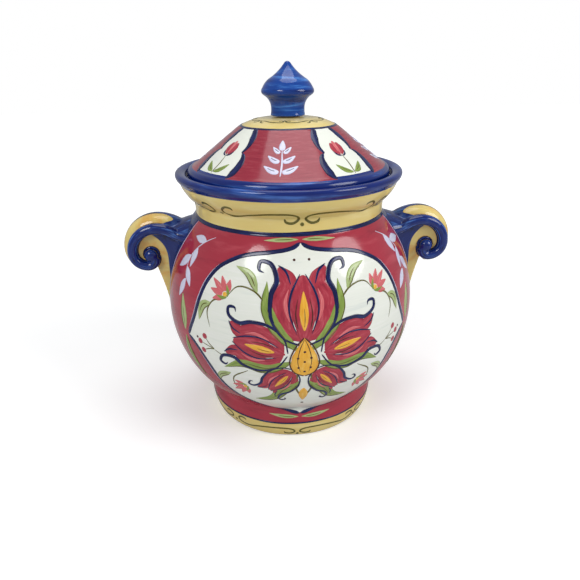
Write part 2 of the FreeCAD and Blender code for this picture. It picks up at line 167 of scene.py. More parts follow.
class JarColours(bpy.types.PropertyGroup):
    crimson: colour("Crimson", "The pot's ground", (0.67, 0.19, 0.26))
    cream: colour("Cream", "The reserves", (0.93, 0.94, 0.90))
    straw: colour("Straw", "The collar, foot and crown", (0.90, 0.81, 0.50))
    cobalt: colour("Cobalt", "The rim and handles", (0.015, 0.135, 0.44))
    navy: colour("Navy", "Outlines", (0.03, 0.06, 0.27))
    gold: colour("Gold", "Flames and drops", (0.93, 0.69, 0.22))
    leaf: colour("Leaf green", "Large leaves", (0.52, 0.61, 0.28))
    olive: colour("Olive", "Tendrils and border scrolls", (0.36, 0.34, 0.10))
    pale_leaf: colour("Pale leaf", "Leaves on the crimson", (0.66, 0.73, 0.48))
    coral: colour("Coral", "Small flowers", (0.83, 0.40, 0.42))
    lilac: colour("Lilac", "Leaves on the crimson", (0.84, 0.84, 0.93))
    umber: colour("Umber", "Seeds and dots", (0.27, 0.12, 0.10))
    biscuit: colour("Biscuit", "Bare clay under the foot", (0.86, 0.76, 0.64))
    inside: colour("Inside", "Clear glaze on the inside", (0.93, 0.91, 0.85))
    rubber: colour("Rubber", "The sealing ring", (0.90, 0.89, 0.86))


def linear(value):
    return tuple(c / 12.92 if c <= 0.04045 else ((c + 0.055) / 1.055) ** 2.4 for c in value)


# Lines and arcs of the turned pieces

def arc(start, end, swell, step):
    """Points after start up to end; swell is the rise to the left of the way there."""
    a, b = np.array(start, float), np.array(end, float)
    chord = b - a
    length = float(np.hypot(*chord))
    count = max(2, int(math.ceil(length / step)))
    ways = np.linspace(0, 1, count + 1)[1:, None]
    if abs(swell) < 1e-9:
        return a + chord * ways
    half, rise = length / 2, abs(swell)
    radius = (half * half + rise * rise) / (2 * rise)
    left = np.array((-chord[1], chord[0])) / length
    side = 1 if swell > 0 else -1
    centre = (a + b) / 2 + left * side * (rise - radius)
    begin = math.atan2(*(a - centre)[::-1])
    sweep = (math.atan2(*(b - centre)[::-1]) - begin + math.pi) % TURN - math.pi
    angles = begin + sweep * ways
    return centre + radius * np.hstack((np.cos(angles), np.sin(angles)))


def swell_of(radius, a, b):
    """The rise of an arc of a given radius between two stations."""
    chord = math.hypot(b[0] - a[0], b[1] - a[1])
    return radius - math.sqrt(radius * radius - chord * chord / 4)


class Profile:
    """A turned outline in millimetres, each stretch with the glaze that covers it."""

    def __init__(self, across, up):
        self.points = [np.array([[across, up]], float)]
        self.glazes = []

    def to(self, across, up, glaze, swell=0.0, step=1.2):
        run = arc(self.points[-1][-1], (across, up), swell, step)
        self.points.append(run)
        self.glazes += [glaze] * len(run)
        return self

    def finished(self, inset, painted, rounds=3):
        """The outline with its corners eased, and drawn in under the painted stretches."""
        line = np.vstack(self.points)
        closed = np.allclose(line[0], line[-1])
        fixed = line[:, 0] < 1e-6
        for _ in range(rounds):
            before, after = np.roll(line, 1, 0), np.roll(line, -1, 0)
            if closed:
                before[0], after[-1] = line[-2], line[1]
            else:
                before[0], after[-1] = line[0], line[-1]
            eased = line * 0.5 + (before + after) * 0.25
            line = np.where(fixed[:, None], line, eased)
        normals = outward(line, closed)
        amount = np.array([inset if g in painted else 0.0 for g in self.glazes])
        amount = np.append(amount, amount[-1])
        for _ in range(3):
            amount = np.convolve(np.pad(amount, 1, mode="edge"), (0.25, 0.5, 0.25), "valid")
        line = line - normals * amount[:, None]
        line[:, 0] = np.maximum(line[:, 0], 0.0)
        return line


def outward(line, closed=False):
    """Unit normals to the right of the way along an outline, which is its outside."""
    way = np.gradient(line, axis=0)
    if closed:
        way[0] = way[-1] = line[1] - line[-2]
    way /= np.maximum(np.hypot(way[:, 0], way[:, 1]), 1e-9)[:, None]
    return np.column_stack((way[:, 1], -way[:, 0]))


def new_mesh_object(name, verts, faces, materials=(), indices=None):
    mesh = bpy.data.meshes.new(name)
    mesh.from_pydata([tuple(v) for v in verts], [], [tuple(f) for f in faces])
    for material in materials:
        mesh.materials.append(material)
    if indices is not None:
        mesh.polygons.foreach_set("material_index", indices)
    mesh.polygons.foreach_set("use_smooth", [True] * len(mesh.polygons))
    mesh.validate()
    mesh.update()
    return shown(name, mesh)


def shown(name, data):
    """Puts a mesh, a lamp or a camera into the scene as an object."""
    thing = bpy.data.objects.new(name, data)
    bpy.context.scene.collection.objects.link(thing)
    return thing


def from_form(name, form, triangles=False):
    """Makes an object of a bmesh, with its faces looking out."""
    bmesh.ops.recalc_face_normals(form, faces=form.faces)
    if triangles:
        bmesh.ops.triangulate(form, faces=form.faces)
    mesh = bpy.data.meshes.new(name)
    form.to_mesh(mesh)
    form.free()
    return shown(name, mesh)


def loft(name, rings):
    """A skin over rings with equal counts of points, closed at both ends."""
    form = bmesh.new()
    rows = [[form.verts.new(point) for point in ring] for ring in rings]
    count = len(rows[0])
    for low, high in zip(rows, rows[1:]):
        for k in range(count):
            j = (k + 1) % count
            form.faces.new((low[k], low[j], high[j], high[k]))
    form.faces.new(list(reversed(rows[0])))
    form.faces.new(rows[-1])
    return from_form(name, form)


def points_of(mesh):
    """A mesh's points as rows, in metres."""
    points = np.empty(len(mesh.vertices) * 3)
    mesh.vertices.foreach_get("co", points)
    return points.reshape(-1, 3)


def move_points(mesh, points):
    mesh.vertices.foreach_set("co", points.ravel())
    mesh.update()


def map_strokes(mesh, places):
    """Writes the stroke coordinates, given for each point, onto the faces' corners."""
    corner = np.empty(len(mesh.loops), int)
    mesh.loops.foreach_get("vertex_index", corner)
    layer = mesh.uv_layers.new(name="stroke")
    layer.data.foreach_set("uv", places[corner].ravel())


def turned(name, line, glazes, names, around=256):
    """Turns an outline about the jar's axis; each stretch keeps its own glaze."""
    closed = np.allclose(line[0], line[-1], atol=1e-6)
    if closed:
        line = line[:-1]
    rings, verts = [], []
    angles = np.arange(around) * TURN / around
    for across, up in line * MM:
        if across < 1e-9:
            rings.append([len(verts)] * around)
            verts.append((0.0, 0.0, up))
        else:
            rings.append(list(range(len(verts), len(verts) + around)))
            verts += [(across * math.sin(a), -across * math.cos(a), up) for a in angles]
    faces, indices = [], []
    count = len(rings)
    for row in range(count if closed else count - 1):
        low, high = rings[row], rings[(row + 1) % count]
        slot = names.index(glazes[row])
        for i in range(around):
            j = (i + 1) % around
            corners = [low[i], low[j], high[j], high[i]]
            corners = [c for k, c in enumerate(corners) if c != corners[k - 1]]
            faces.append(corners)
            indices.append(slot)
    return new_mesh_object(name, verts, faces, [GLAZES[n] for n in names], indices)


class Skin:
    """The outside of a turned piece, measured round as an angle and up as a length."""

    def __init__(self, line):
        self.line = line
        steps = np.hypot(*np.diff(line, axis=0).T)
        self.length = np.concatenate(([0.0], np.cumsum(steps)))
        self.normals = outward(line)

    def at_level(self, level):
        return float(np.interp(level, self.line[:, 1], self.length))

    def at_radius(self, radius):
        """Length at a radius of a line that narrows on its way up."""
        return float(np.interp(-radius, -self.line[:, 0], self.length))

    def radius(self, length):
        return np.interp(length, self.length, self.line[:, 0])

    def place(self, angle, length, lift):
        """Points in metres; angle 0 faces the front and grows towards the right."""
        up = np.interp(length, self.length, self.line[:, 1])
        out = np.interp(length, self.length, self.normals[:, 0])
        rise = np.interp(length, self.length, self.normals[:, 1])
        reach = self.radius(length) + lift * out
        return np.column_stack((reach * np.sin(angle), -reach * np.cos(angle),
                                up + lift * rise)) * MM


# Brush strokes

SHAPES = {
    "leaf": ((0, 0), (0.06, 0.30), (0.22, 0.78), (0.42, 1.0), (0.65, 0.80), (0.88, 0.32), (1, 0)),
    "drop": ((0, 0), (0.03, 0.45), (0.12, 0.80), (0.30, 1.0), (0.55, 0.86), (0.85, 0.34), (1, 0)),
    "brush": ((0, 0), (0.03, 0.40), (0.25, 1.0), (0.60, 0.88), (0.90, 0.42), (1, 0)),
    "swell": ((0, 0), (0.02, 0.30), (0.30, 0.62), (0.60, 1.0), (0.93, 0.70), (1, 0)),
    "even": ((0, 0), (0.01, 0.70), (0.03, 1.0), (0.97, 1.0), (0.99, 0.70), (1, 0)),
    "ring": ((0, 1), (1, 1)),
    "petal": ((0, 0), (0.10, 0.42), (0.40, 0.90), (0.62, 1.0), (0.85, 0.72), (0.96, 0.35), (1, 0)),
}
ACROSS = np.array((-1.0, -0.90, -0.55, 0.0, 0.55, 0.90, 1.0))
SUNK = -0.10


def smooth_path(points, spacing):
    """A Catmull-Rom curve through flat points in millimetres, evenly sampled."""
    points = np.array(points, float)
    if len(points) == 2:
        dense = points[0] + (points[1] - points[0]) * np.linspace(0, 1, 40)[:, None]
    else:
        padded = np.vstack((2 * points[0] - points[1], points, 2 * points[-1] - points[-2]))
        ways = np.linspace(0, 1, 24, endpoint=False)[:, None]
        parts = []
        for k in range(len(points) - 1):
            a, b, c, d = padded[k:k + 4]
            parts.append(0.5 * (2 * b + (c - a) * ways + (2 * a - 5 * b + 4 * c - d) * ways ** 2
                                + (3 * b - a - 3 * c + d) * ways ** 3))
        dense = np.vstack(parts + [points[-1:]])
    run = np.concatenate(([0.0], np.cumsum(np.hypot(*np.diff(dense, axis=0).T))))
    count = max(8, int(run[-1] / spacing) + 1)
    even = np.linspace(0, run[-1], count)
    return np.column_stack([np.interp(even, run, dense[:, k]) for k in (0, 1)]), even


def shape_width(shape, ways):
    table = np.array(SHAPES[shape], float)
    fine = np.linspace(0, 1, 201)
    width = np.interp(fine, table[:, 0], table[:, 1])
    for _ in range(6):
        width[1:-1] = width[1:-1] * 0.5 + (width[:-2] + width[2:]) * 0.25
    return np.interp(ways, fine, width)


class Brushwork:
    """Strokes of glaze laid on one skin, gathered by colour."""

    def __init__(self, skin):
        self.skin = skin
        self.heaps = {}

    def heap(self, glaze):
        return self.heaps.setdefault(glaze, {"verts": [], "faces": [], "uvs": [], "tones": [],
                                             "count": 0})

    def add_grid(self, glaze, angle, length, lift, across, along, tone):
        """A grid of points, rows along and columns across, with its own faces."""
        rows, columns = angle.shape
        points = self.skin.place(angle.ravel(), length.ravel(), lift.ravel())
        heap = self.heap(glaze)
        first = heap["count"]
        heap["verts"].append(points)
        heap["uvs"].append(np.column_stack((across.ravel(), along.ravel())))
        heap["tones"].append(np.full(rows * columns, tone))
        index = first + np.arange(rows * columns).reshape(rows, columns)
        quads = np.stack((index[:-1, :-1], index[:-1, 1:], index[1:, 1:], index[1:, :-1]), -1)
        heap["faces"].append(quads.reshape(-1, 4))
        heap["count"] += rows * columns

    def stroke(self, glaze, path, width, shape="brush", layer=0.12, crown=0.10, tone=None):
        """A stroke along a path of angles and lengths; its width is taken on the surface."""
        angle, length = path[:, 0], path[:, 1]
        radius = self.skin.radius(length)
        way_x, way_y = np.gradient(angle) * radius, np.gradient(length)
        size = np.maximum(np.hypot(way_x, way_y), 1e-9)
        run = np.concatenate(([0.0], np.cumsum((size[1:] + size[:-1]) / 2)))
        half = shape_width(shape, run / run[-1]) * width / 2
        side_x, side_y = way_y / size, -way_x / size
        spread = half[:, None] * ACROSS
        angles = angle[:, None] + side_x[:, None] * spread / radius[:, None]
        lengths = length[:, None] + side_y[:, None] * spread
        fullness = np.clip(half / max(width / 2, 1e-6) * 1.6, 0.15, 1.0)
        lift = np.where(np.abs(ACROSS) > 0.95, SUNK,
                        layer + crown * (1 - ACROSS ** 2) * fullness[:, None])
        if shape != "ring":
            lift[0], lift[-1] = SUNK, SUNK
        across = np.broadcast_to(ACROSS, lift.shape)
        along = np.broadcast_to(run[:, None], lift.shape)
        self.add_grid(glaze, angles, lengths, lift, across, along,
                      tone if tone is not None else (len(path) * 0.37 + width) % 1.0)

    def dot(self, glaze, angle, length, radius, layer=0.16, crown=0.14, tone=0.5):
        spin = np.linspace(0, TURN, 17)
        rings = np.array((0.02, 0.5, 0.9, 1.0))
        x = rings[:, None] * np.cos(-spin) * radius
        y = rings[:, None] * np.sin(-spin) * radius
        lift = np.where(rings > 0.95, SUNK, layer + crown * (1 - rings ** 2))[:, None]
        lift = np.broadcast_to(lift, x.shape)
        across = np.broadcast_to(rings[:, None], x.shape)
        self.add_grid(glaze, angle + x / self.skin.radius(length), length + y, lift, across,
                      y + x * 0.3, tone)

    def field(self, glaze, angle, length, across, height, flat, along, tone):
        """A flat area of glaze, with all four of its edges sunk in the ground."""
        spread = [np.broadcast_to(part, angle.shape) for part in (length[:, None], flat, along)]
        lift = np.broadcast_to(np.where(np.abs(across) < 1.0, height, SUNK), angle.shape).copy()
        lift[0], lift[-1] = SUNK, SUNK
        self.add_grid(glaze, angle, spread[0], lift, spread[1], spread[2], tone)

    def objects(self, prefix):
        """One mesh for each colour of glaze, with its stroke coordinates."""
        made = []
        for glaze, heap in self.heaps.items():
            thing = new_mesh_object(prefix + "_" + glaze, np.vstack(heap["verts"]),
                                    np.vstack(heap["faces"]), [GLAZES[glaze]])
            map_strokes(thing.data, np.vstack(heap["uvs"]))
            tone = thing.data.attributes.new("tone", "FLOAT", "POINT")
            tone.data.foreach_set("value", np.concatenate(heap["tones"]))
            made.append(thing)
        return made

    def hand_over(self, prefix, body, slot):
        for thing in self.objects(prefix):
            hand_over(thing, body)


class Motif:
    """A flat drawing in millimetres, set down on a skin at an angle and a height."""

    def __init__(self, work, angle, length, turn=0.0, scale=1.0, flip=1, at=(0.0, 0.0)):
        self.work, self.angle, self.length = work, angle, length
        self.turn, self.scale, self.flip, self.at = turn, scale, flip, at

    def inner(self, at, turn=0.0, scale=1.0, flip=1):
        """A smaller drawing inside this one, turned clockwise from upright."""
        spot = self.flat(np.array([at], float))[0]
        spin = self.turn + turn * self.flip
        return Motif(self.work, self.angle, self.length, spin, self.scale * scale,
                     self.flip * flip, tuple(spot))

    def pair(self):
        """This drawing's left and right halves, each as it would be drawn on the right."""
        return [self.inner((0, 0), flip=flip) for flip in (-1, 1)]

    def flat(self, points):
        points = np.array(points, float) * self.scale
        x, y = points[:, 0] * self.flip, points[:, 1]
        c, s = math.cos(self.turn), math.sin(self.turn)
        return np.column_stack((self.at[0] + x * c + y * s, self.at[1] - x * s + y * c))

    def stroke(self, glaze, points, width, shape="brush", **more):
        path, _ = smooth_path(self.flat(points), 0.8)
        length = self.length + path[:, 1]
        angle = self.angle + path[:, 0] / self.work.skin.radius(length)
        self.work.stroke(glaze, np.column_stack((angle, length)), width * self.scale, shape,
                         **more)

    def dot(self, glaze, at, radius, **more):
        x, y = self.flat([at])[0]
        length = self.length + y
        self.work.dot(glaze, self.angle + x / float(self.work.skin.radius(length)), length,
                      radius * self.scale, **more)


# Glaze materials

class Wiring:
    """Adds nodes to a tree and wires them; each new node stands beside the last."""
    stride = 180

    def __init__(self, tree):
        self.tree = tree

    def add(self, kind, sockets=None, **settings):
        """A new node with its settings, and with its sockets wired or set."""
        node = self.tree.nodes.new(kind)
        count = len(self.tree.nodes)
        node.location = (self.stride * count, -120 * (count % 4))
        for key, value in settings.items():
            setattr(node, key, value)
        self.feed(node, sockets or {})
        return node

    def wire(self, source, target):
        self.tree.links.new(source, target)

    def feed(self, node, sockets):
        """Wires each named socket to another node's output, or sets it to a constant."""
        for key, value in sockets.items():
            socket = node.inputs[key]
            if isinstance(value, bpy.types.NodeSocket):
                self.wire(value, socket)
            elif isinstance(value, tuple):
                socket.default_value = (value + (1.0,))[:len(socket.default_value)]
            else:
                socket.default_value = value

    def math(self, operation, first, second=0.0):
        return self.add("ShaderNodeMath", {0: first, 1: second}, operation=operation).outputs[0]


class Nodes(Wiring):
    """The nodes of one material."""
    stride = -200

    def __init__(self, name):
        self.material = bpy.data.materials.new(name)
        self.material.use_nodes = True
        super().__init__(self.material.node_tree)
        self.shader = self.tree.nodes["Principled BSDF"]

    def noise(self, vector, scale, detail=3.0, roughness=0.55, distortion=0.0):
        return self.add("ShaderNodeTexNoise", {
            "Vector": vector, "Scale": scale, "Detail": detail, "Roughness": roughness,
            "Distortion": distortion}).outputs["Fac"]

    def spread(self, value, low, high, to_low=0.0, to_high=1.0):
        return self.add("ShaderNodeMapRange", {
            "Value": value, "From Min": low, "From Max": high, "To Min": to_low,
            "To Max": to_high}, interpolation_type="SMOOTHSTEP").outputs["Result"]

    def mix(self, factor, first, second):
        return self.add("ShaderNodeMix", {0: factor, 6: first, 7: second},
                        data_type="RGBA").outputs[2]

    def mapped(self, vector, scale):
        return self.add("ShaderNodeMapping", {"Vector": vector, "Scale": scale}).outputs["Vector"]

    def object_space(self):
        return self.add("ShaderNodeTexCoord").outputs["Object"]

    def attribute(self, name):
        return self.add("ShaderNodeAttribute", attribute_name=name).outputs["Fac"]

    def bump(self, height, strength, distance):
        node = self.add("ShaderNodeBump", {"Height": height, "Strength": strength,
                                           "Distance": distance})
        self.wire(node.outputs["Normal"], self.shader.inputs["Normal"])

    def gloss(self, rough_low, rough_high, coat=0.10):
        """The wet look of a fired glaze, a little uneven over the clay."""
        space = self.object_space()
        wave = self.noise(space, 42.0, 2.0)
        pits = self.noise(space, 420.0, 2.0)
        self.feed(self.shader, {"Roughness": self.spread(wave, 0.3, 0.7, rough_low, rough_high),
                                "Coat Weight": coat, "Coat Roughness": 0.04, "IOR": 1.45})
        self.bump(self.math("ADD", wave, self.math("MULTIPLY", pits, 0.06)), 0.30, 0.0008)


def shaded(value, factor):
    return tuple(min(1.0, c * factor) for c in value)


def ground_glaze(name, base, light, dark, flow=(26.0, 26.0, 150.0), streak=0.55, pool=0.5):
    """A glaze brushed round a turned piece: level streaks, and slow thick and thin places."""
    nodes = Nodes(name)
    space = nodes.object_space()
    brushed = nodes.noise(nodes.mapped(space, flow), 1.0, 4.0, 0.6, 0.25)
    slow = nodes.noise(nodes.mapped(space, (14.0, 14.0, 20.0)), 1.0, 2.0, 0.5, 0.4)
    tone = nodes.mix(nodes.spread(brushed, 0.50, 0.74, 0.0, streak), base, light)
    tone = nodes.mix(nodes.spread(brushed, 0.46, 0.24, 0.0, streak), tone, dark)
    tone = nodes.mix(nodes.spread(slow, 0.46, 0.30, 0.0, pool), tone, dark)
    nodes.wire(tone, nodes.shader.inputs["Base Color"])
    nodes.gloss(0.08, 0.16)
    return nodes.material


def stroke_glaze(name, base, light, dark, streak=0.6, edge=0.5):
    """A glaze laid with a loaded brush: streaks along the stroke, darker where it pools."""
    nodes = Nodes(name)
    place = nodes.add("ShaderNodeUVMap", uv_map="stroke").outputs["UV"]
    parts = nodes.add("ShaderNodeSeparateXYZ", {"Vector": place}).outputs
    joined = nodes.add("ShaderNodeCombineXYZ", {
        "X": nodes.math("MULTIPLY", parts["X"], 2.6),
        "Y": nodes.math("MULTIPLY", parts["Y"], 0.10),
        "Z": nodes.math("MULTIPLY", nodes.attribute("tone"), 37.0)})
    hairs = nodes.noise(joined.outputs["Vector"], 1.0, 3.0, 0.6, 0.2)
    tone = nodes.mix(nodes.spread(hairs, 0.48, 0.72, 0.0, streak), base, light)
    tone = nodes.mix(nodes.spread(hairs, 0.45, 0.25, 0.0, streak), tone, dark)
    rim = nodes.math("ABSOLUTE", parts["X"])
    tone = nodes.mix(nodes.spread(rim, 0.72, 0.95, 0.0, edge), tone, dark)
    nodes.wire(tone, nodes.shader.inputs["Base Color"])
    nodes.gloss(0.09, 0.17)
    return nodes.material


def plain_clay(name, base):
    """Bare fired clay with fine sand in it."""
    nodes = Nodes(name)
    space = nodes.object_space()
    sand = nodes.noise(space, 900.0, 3.0, 0.7)
    cloud = nodes.noise(space, 60.0, 3.0)
    tone = nodes.mix(nodes.spread(sand, 0.42, 0.66), base, shaded(base, 0.80))
    tone = nodes.mix(nodes.spread(cloud, 0.5, 0.75, 0.0, 0.4), tone, shaded(base, 0.86))
    nodes.wire(tone, nodes.shader.inputs["Base Color"])
    nodes.shader.inputs["Roughness"].default_value = 0.85
    nodes.bump(sand, 0.35, 0.0003)
    return nodes.material


def soft_rubber(name, base):
    nodes = Nodes(name)
    space = nodes.object_space()
    dust = nodes.noise(space, 260.0, 3.0)
    nodes.wire(nodes.mix(nodes.spread(dust, 0.45, 0.75, 0.0, 0.4), base, shaded(base, 0.88)),
               nodes.shader.inputs["Base Color"])
    nodes.wire(nodes.spread(dust, 0.3, 0.7, 0.42, 0.60), nodes.shader.inputs["Roughness"])
    nodes.shader.inputs["Subsurface Weight"].default_value = 0.05
    nodes.bump(dust, 0.15, 0.0002)
    return nodes.material


def scroll_glaze(name, cobalt, pale, navy, straw, amber):
    """The handles' paint, told apart by how far each spot lies from the beads."""
    nodes = Nodes(name)
    space = nodes.object_space()
    rib = nodes.attribute("rib_gap")
    web = nodes.attribute("web_gap")
    joined = nodes.add("ShaderNodeCombineXYZ", {
        "X": nodes.math("MULTIPLY", nodes.attribute("rib_side"), 2.4),
        "Y": nodes.math("MULTIPLY", nodes.attribute("rib_run"), 0.055)})
    hairs = nodes.noise(joined.outputs["Vector"], 1.0, 4.0, 0.62, 0.5)
    blue = nodes.mix(nodes.spread(hairs, 0.50, 0.70, 0.0, 0.85), cobalt, pale)
    blue = nodes.mix(nodes.spread(hairs, 0.47, 0.30, 0.0, 0.9), blue, navy)
    warm = nodes.noise(nodes.mapped(space, (60.0, 40.0, 60.0)), 1.0, 3.0, 0.6, 0.6)
    yellow = nodes.mix(nodes.spread(warm, 0.46, 0.70, 0.0, 0.75), straw, amber)
    yellow = nodes.mix(nodes.spread(rib, 2.6, 1.2, 0.0, 0.5), yellow, amber)
    line = nodes.math("MAXIMUM", nodes.spread(rib, 1.35, 1.05),
                      nodes.spread(nodes.attribute("ridge_gap"), 2.9, 2.5))
    tone = nodes.mix(line, yellow, navy)
    tone = nodes.mix(nodes.spread(rib, 0.60, 0.35), tone, blue)
    tone = nodes.mix(nodes.spread(web, 0.15, -0.15), tone, blue)
    nodes.wire(tone, nodes.shader.inputs["Base Color"])
    nodes.gloss(0.08, 0.16, 0.2)
    return nodes.material


GLAZES = {}


def mix_glazes():
    """Mixes every glaze once from the colours the user set."""
    paint = bpy.context.scene.jar_colours
    tone = {key: linear(getattr(paint, key)) for key in JarColours.__annotations__}
    crimson, cobalt = tone["crimson"], tone["cobalt"]
    GLAZES["crimson_ground"] = ground_glaze(
        "crimson_ground", crimson, linear((0.76, 0.31, 0.36)), linear((0.50, 0.13, 0.20)))
    GLAZES["straw_ground"] = ground_glaze(
        "straw_ground", tone["straw"], linear((0.95, 0.89, 0.66)), linear((0.89, 0.73, 0.36)))
    GLAZES["cobalt_ground"] = ground_glaze(
        "cobalt_ground", cobalt, linear((0.28, 0.48, 0.82)), linear((0.01, 0.05, 0.25)),
        (18.0, 18.0, 210.0), 0.8, 0.4)
    GLAZES["knob_ground"] = ground_glaze(
        "knob_ground", linear((0.04, 0.25, 0.58)), linear((0.30, 0.55, 0.86)),
        linear((0.01, 0.10, 0.36)), (24.0, 24.0, 330.0), 0.95, 0.35)
    GLAZES["cream_ground"] = ground_glaze(
        "cream_ground", tone["cream"], linear((0.96, 0.96, 0.94)), linear((0.85, 0.88, 0.86)),
        streak=0.4, pool=0.25)
    GLAZES["inside_ground"] = ground_glaze(
        "inside_ground", tone["inside"], linear((0.96, 0.95, 0.91)),
        linear((0.87, 0.84, 0.76)), streak=0.3, pool=0.3)
    GLAZES["biscuit_clay"] = plain_clay("biscuit_clay", tone["biscuit"])
    GLAZES["seal_rubber"] = soft_rubber("seal_rubber", tone["rubber"])
    GLAZES["scroll"] = scroll_glaze(
        "scroll_handle_glaze", cobalt, linear((0.34, 0.54, 0.86)), linear((0.01, 0.04, 0.20)),
        tone["straw"], linear((0.88, 0.66, 0.30)))
    pairs = {
        "crimson": ((0.80, 0.38, 0.42), (0.48, 0.11, 0.19)),
        "cream": ((0.96, 0.96, 0.94), (0.84, 0.87, 0.85)),
        "straw": ((0.95, 0.89, 0.66), (0.86, 0.68, 0.32)),
        "cobalt": ((0.26, 0.44, 0.76), (0.01, 0.05, 0.24)),
        "navy": ((0.10, 0.22, 0.52), (0.01, 0.02, 0.15)),
        "gold": ((0.97, 0.83, 0.45), (0.84, 0.54, 0.12)),
        "leaf": ((0.68, 0.75, 0.42), (0.33, 0.42, 0.16)),
        "olive": ((0.54, 0.53, 0.27), (0.28, 0.25, 0.08)),
        "pale_leaf": ((0.77, 0.82, 0.62), (0.49, 0.56, 0.30)),
        "coral": ((0.93, 0.60, 0.60), (0.72, 0.24, 0.29)),
        "lilac": ((0.95, 0.95, 0.98), (0.70, 0.68, 0.83)),
        "umber": ((0.40, 0.20, 0.16), (0.16, 0.06, 0.05)),
    }
    for key, (light, dark) in pairs.items():
        GLAZES[key] = stroke_glaze(key + "_stroke", tone[key], linear(light), linear(dark))


# Geometry Nodes

class GeometryTree(Wiring):
    """A node group for a modifier, with named inputs."""

    def __init__(self, name, inputs):
        super().__init__(bpy.data.node_groups.new(name, "GeometryNodeTree"))
        self.tree.is_modifier = True
        for name, kind in {"Geometry": "NodeSocketGeometry", **inputs}.items():
            self.tree.interface.new_socket(name, in_out="INPUT", socket_type=kind)
        self.tree.interface.new_socket("Geometry", in_out="OUTPUT",
                                       socket_type="NodeSocketGeometry")
        self.source = self.add("NodeGroupInput").outputs
        self.sink = self.add("NodeGroupOutput")

    def random(self, low, high, seed):
        return self.add("FunctionNodeRandomValue", {2: low, 3: high, "Seed": seed},
                        data_type="FLOAT").outputs[1]

    def finish(self, geometry):
        """Ends the tree with real geometry in one glaze."""
        realize = self.add("GeometryNodeRealizeInstances", {"Geometry": geometry})
        paint = self.add("GeometryNodeSetMaterial", {
            "Geometry": realize.outputs["Geometry"], "Material": self.source["Glaze"]})
        self.wire(paint.outputs["Geometry"], self.sink.inputs["Geometry"])
        return self.tree


WHOLE, NUMBER, GLAZE = "NodeSocketInt", "NodeSocketFloat", "NodeSocketMaterial"


def once(**inputs):
    """Builds a tree with these inputs the first time, and hands it out from then on."""
    def maker(build):
        def tree():
            name = build.__name__
            return bpy.data.node_groups.get(name) or build(GeometryTree(name, inputs))
        return tree
    return maker


@once(Count=WHOLE, Sway=NUMBER, Seed=WHOLE, Glaze=GLAZE)
def ring_of_motifs(tree):
    """Repeats a motif round the jar's axis, each copy a touch out of true."""
    source = tree.source
    points = tree.add("GeometryNodePoints", {"Count": source["Count"]})
    index = tree.add("GeometryNodeInputIndex").outputs[0]
    step = tree.math("DIVIDE", TURN, source["Count"])
    sway = tree.math("MULTIPLY", tree.random(-1.0, 1.0, source["Seed"]), source["Sway"])
    spin = tree.add("ShaderNodeCombineXYZ", {
        "Z": tree.math("ADD", tree.math("MULTIPLY", index, step), sway)})
    place = tree.add("GeometryNodeInstanceOnPoints", {
        "Points": points.outputs[0], "Instance": source["Geometry"],
        "Rotation": spin.outputs[0]})
    return tree.finish(place.outputs["Instances"])


@once(Leaf="NodeSocketObject", Count=WHOLE, Spread=NUMBER, Seed=WHOLE, Glaze=GLAZE)
def leaves_on_stem(tree):
    """Sets leaves in turn on both sides of a flat stem."""
    source = tree.source
    line = tree.add("GeometryNodeMeshToCurve", {"Mesh": source["Geometry"]})
    points = tree.add("GeometryNodeCurveToPoints", {
        "Curve": line.outputs["Curve"], "Count": source["Count"]}, mode="COUNT").outputs
    way = tree.add("ShaderNodeSeparateXYZ", {0: points["Tangent"]}).outputs
    heading = tree.math("ARCTAN2", way["Y"], way["X"])
    index = tree.add("GeometryNodeInputIndex").outputs[0]
    side = tree.math("SUBTRACT", tree.math("MULTIPLY", tree.math("MODULO", index, 2.0), 2.0), 1.0)
    lean = tree.math("ADD", heading, tree.math("MULTIPLY", side, source["Spread"]))
    sway = tree.random(-0.12, 0.12, source["Seed"])
    spin = tree.add("ShaderNodeCombineXYZ", {"Z": tree.math("ADD", lean, sway)})
    leaf = tree.add("GeometryNodeObjectInfo", {"As Instance": True, "Object": source["Leaf"]})
    place = tree.add("GeometryNodeInstanceOnPoints", {
        "Points": points["Points"], "Instance": leaf.outputs["Geometry"],
        "Rotation": spin.outputs[0], "Scale": tree.random(0.82, 1.08, source["Seed"])})
    return tree.finish(place.outputs["Instances"])


@once(Sides=WHOLE, Glaze=GLAZE)
def rib_on_path(tree):
    """A round rib along a path, as thick as the path's girth says."""
    source = tree.source
    line = tree.add("GeometryNodeMeshToCurve", {"Mesh": source["Geometry"]})
    girth = tree.add("GeometryNodeInputNamedAttribute", {"Name": "girth"},
                     data_type="FLOAT").outputs[0]
    radius = tree.add("GeometryNodeSetCurveRadius", {"Curve": line.outputs["Curve"],
                                                     "Radius": girth})
    circle = tree.add("GeometryNodeCurvePrimitiveCircle", {"Radius": 1.0,
                                                           "Resolution": source["Sides"]})
    sweep = tree.add("GeometryNodeCurveToMesh", {
        "Curve": radius.outputs["Curve"], "Profile Curve": circle.outputs["Curve"],
        "Fill Caps": True})
    if "Scale" in sweep.inputs:
        tree.feed(sweep, {"Scale": girth})
    return tree.finish(sweep.outputs["Mesh"])


def grow(thing, tree, **inputs):
    """Runs a tree on an object and leaves its result as a plain mesh."""
    modifier = thing.modifiers.new("grow", "NODES")
    modifier.node_group = tree
    by_name = {item.name: item.identifier for item in tree.interface.items_tree
               if item.in_out == "INPUT"}
    for key, value in inputs.items():
        modifier[by_name[key]] = value
    return bake(thing)


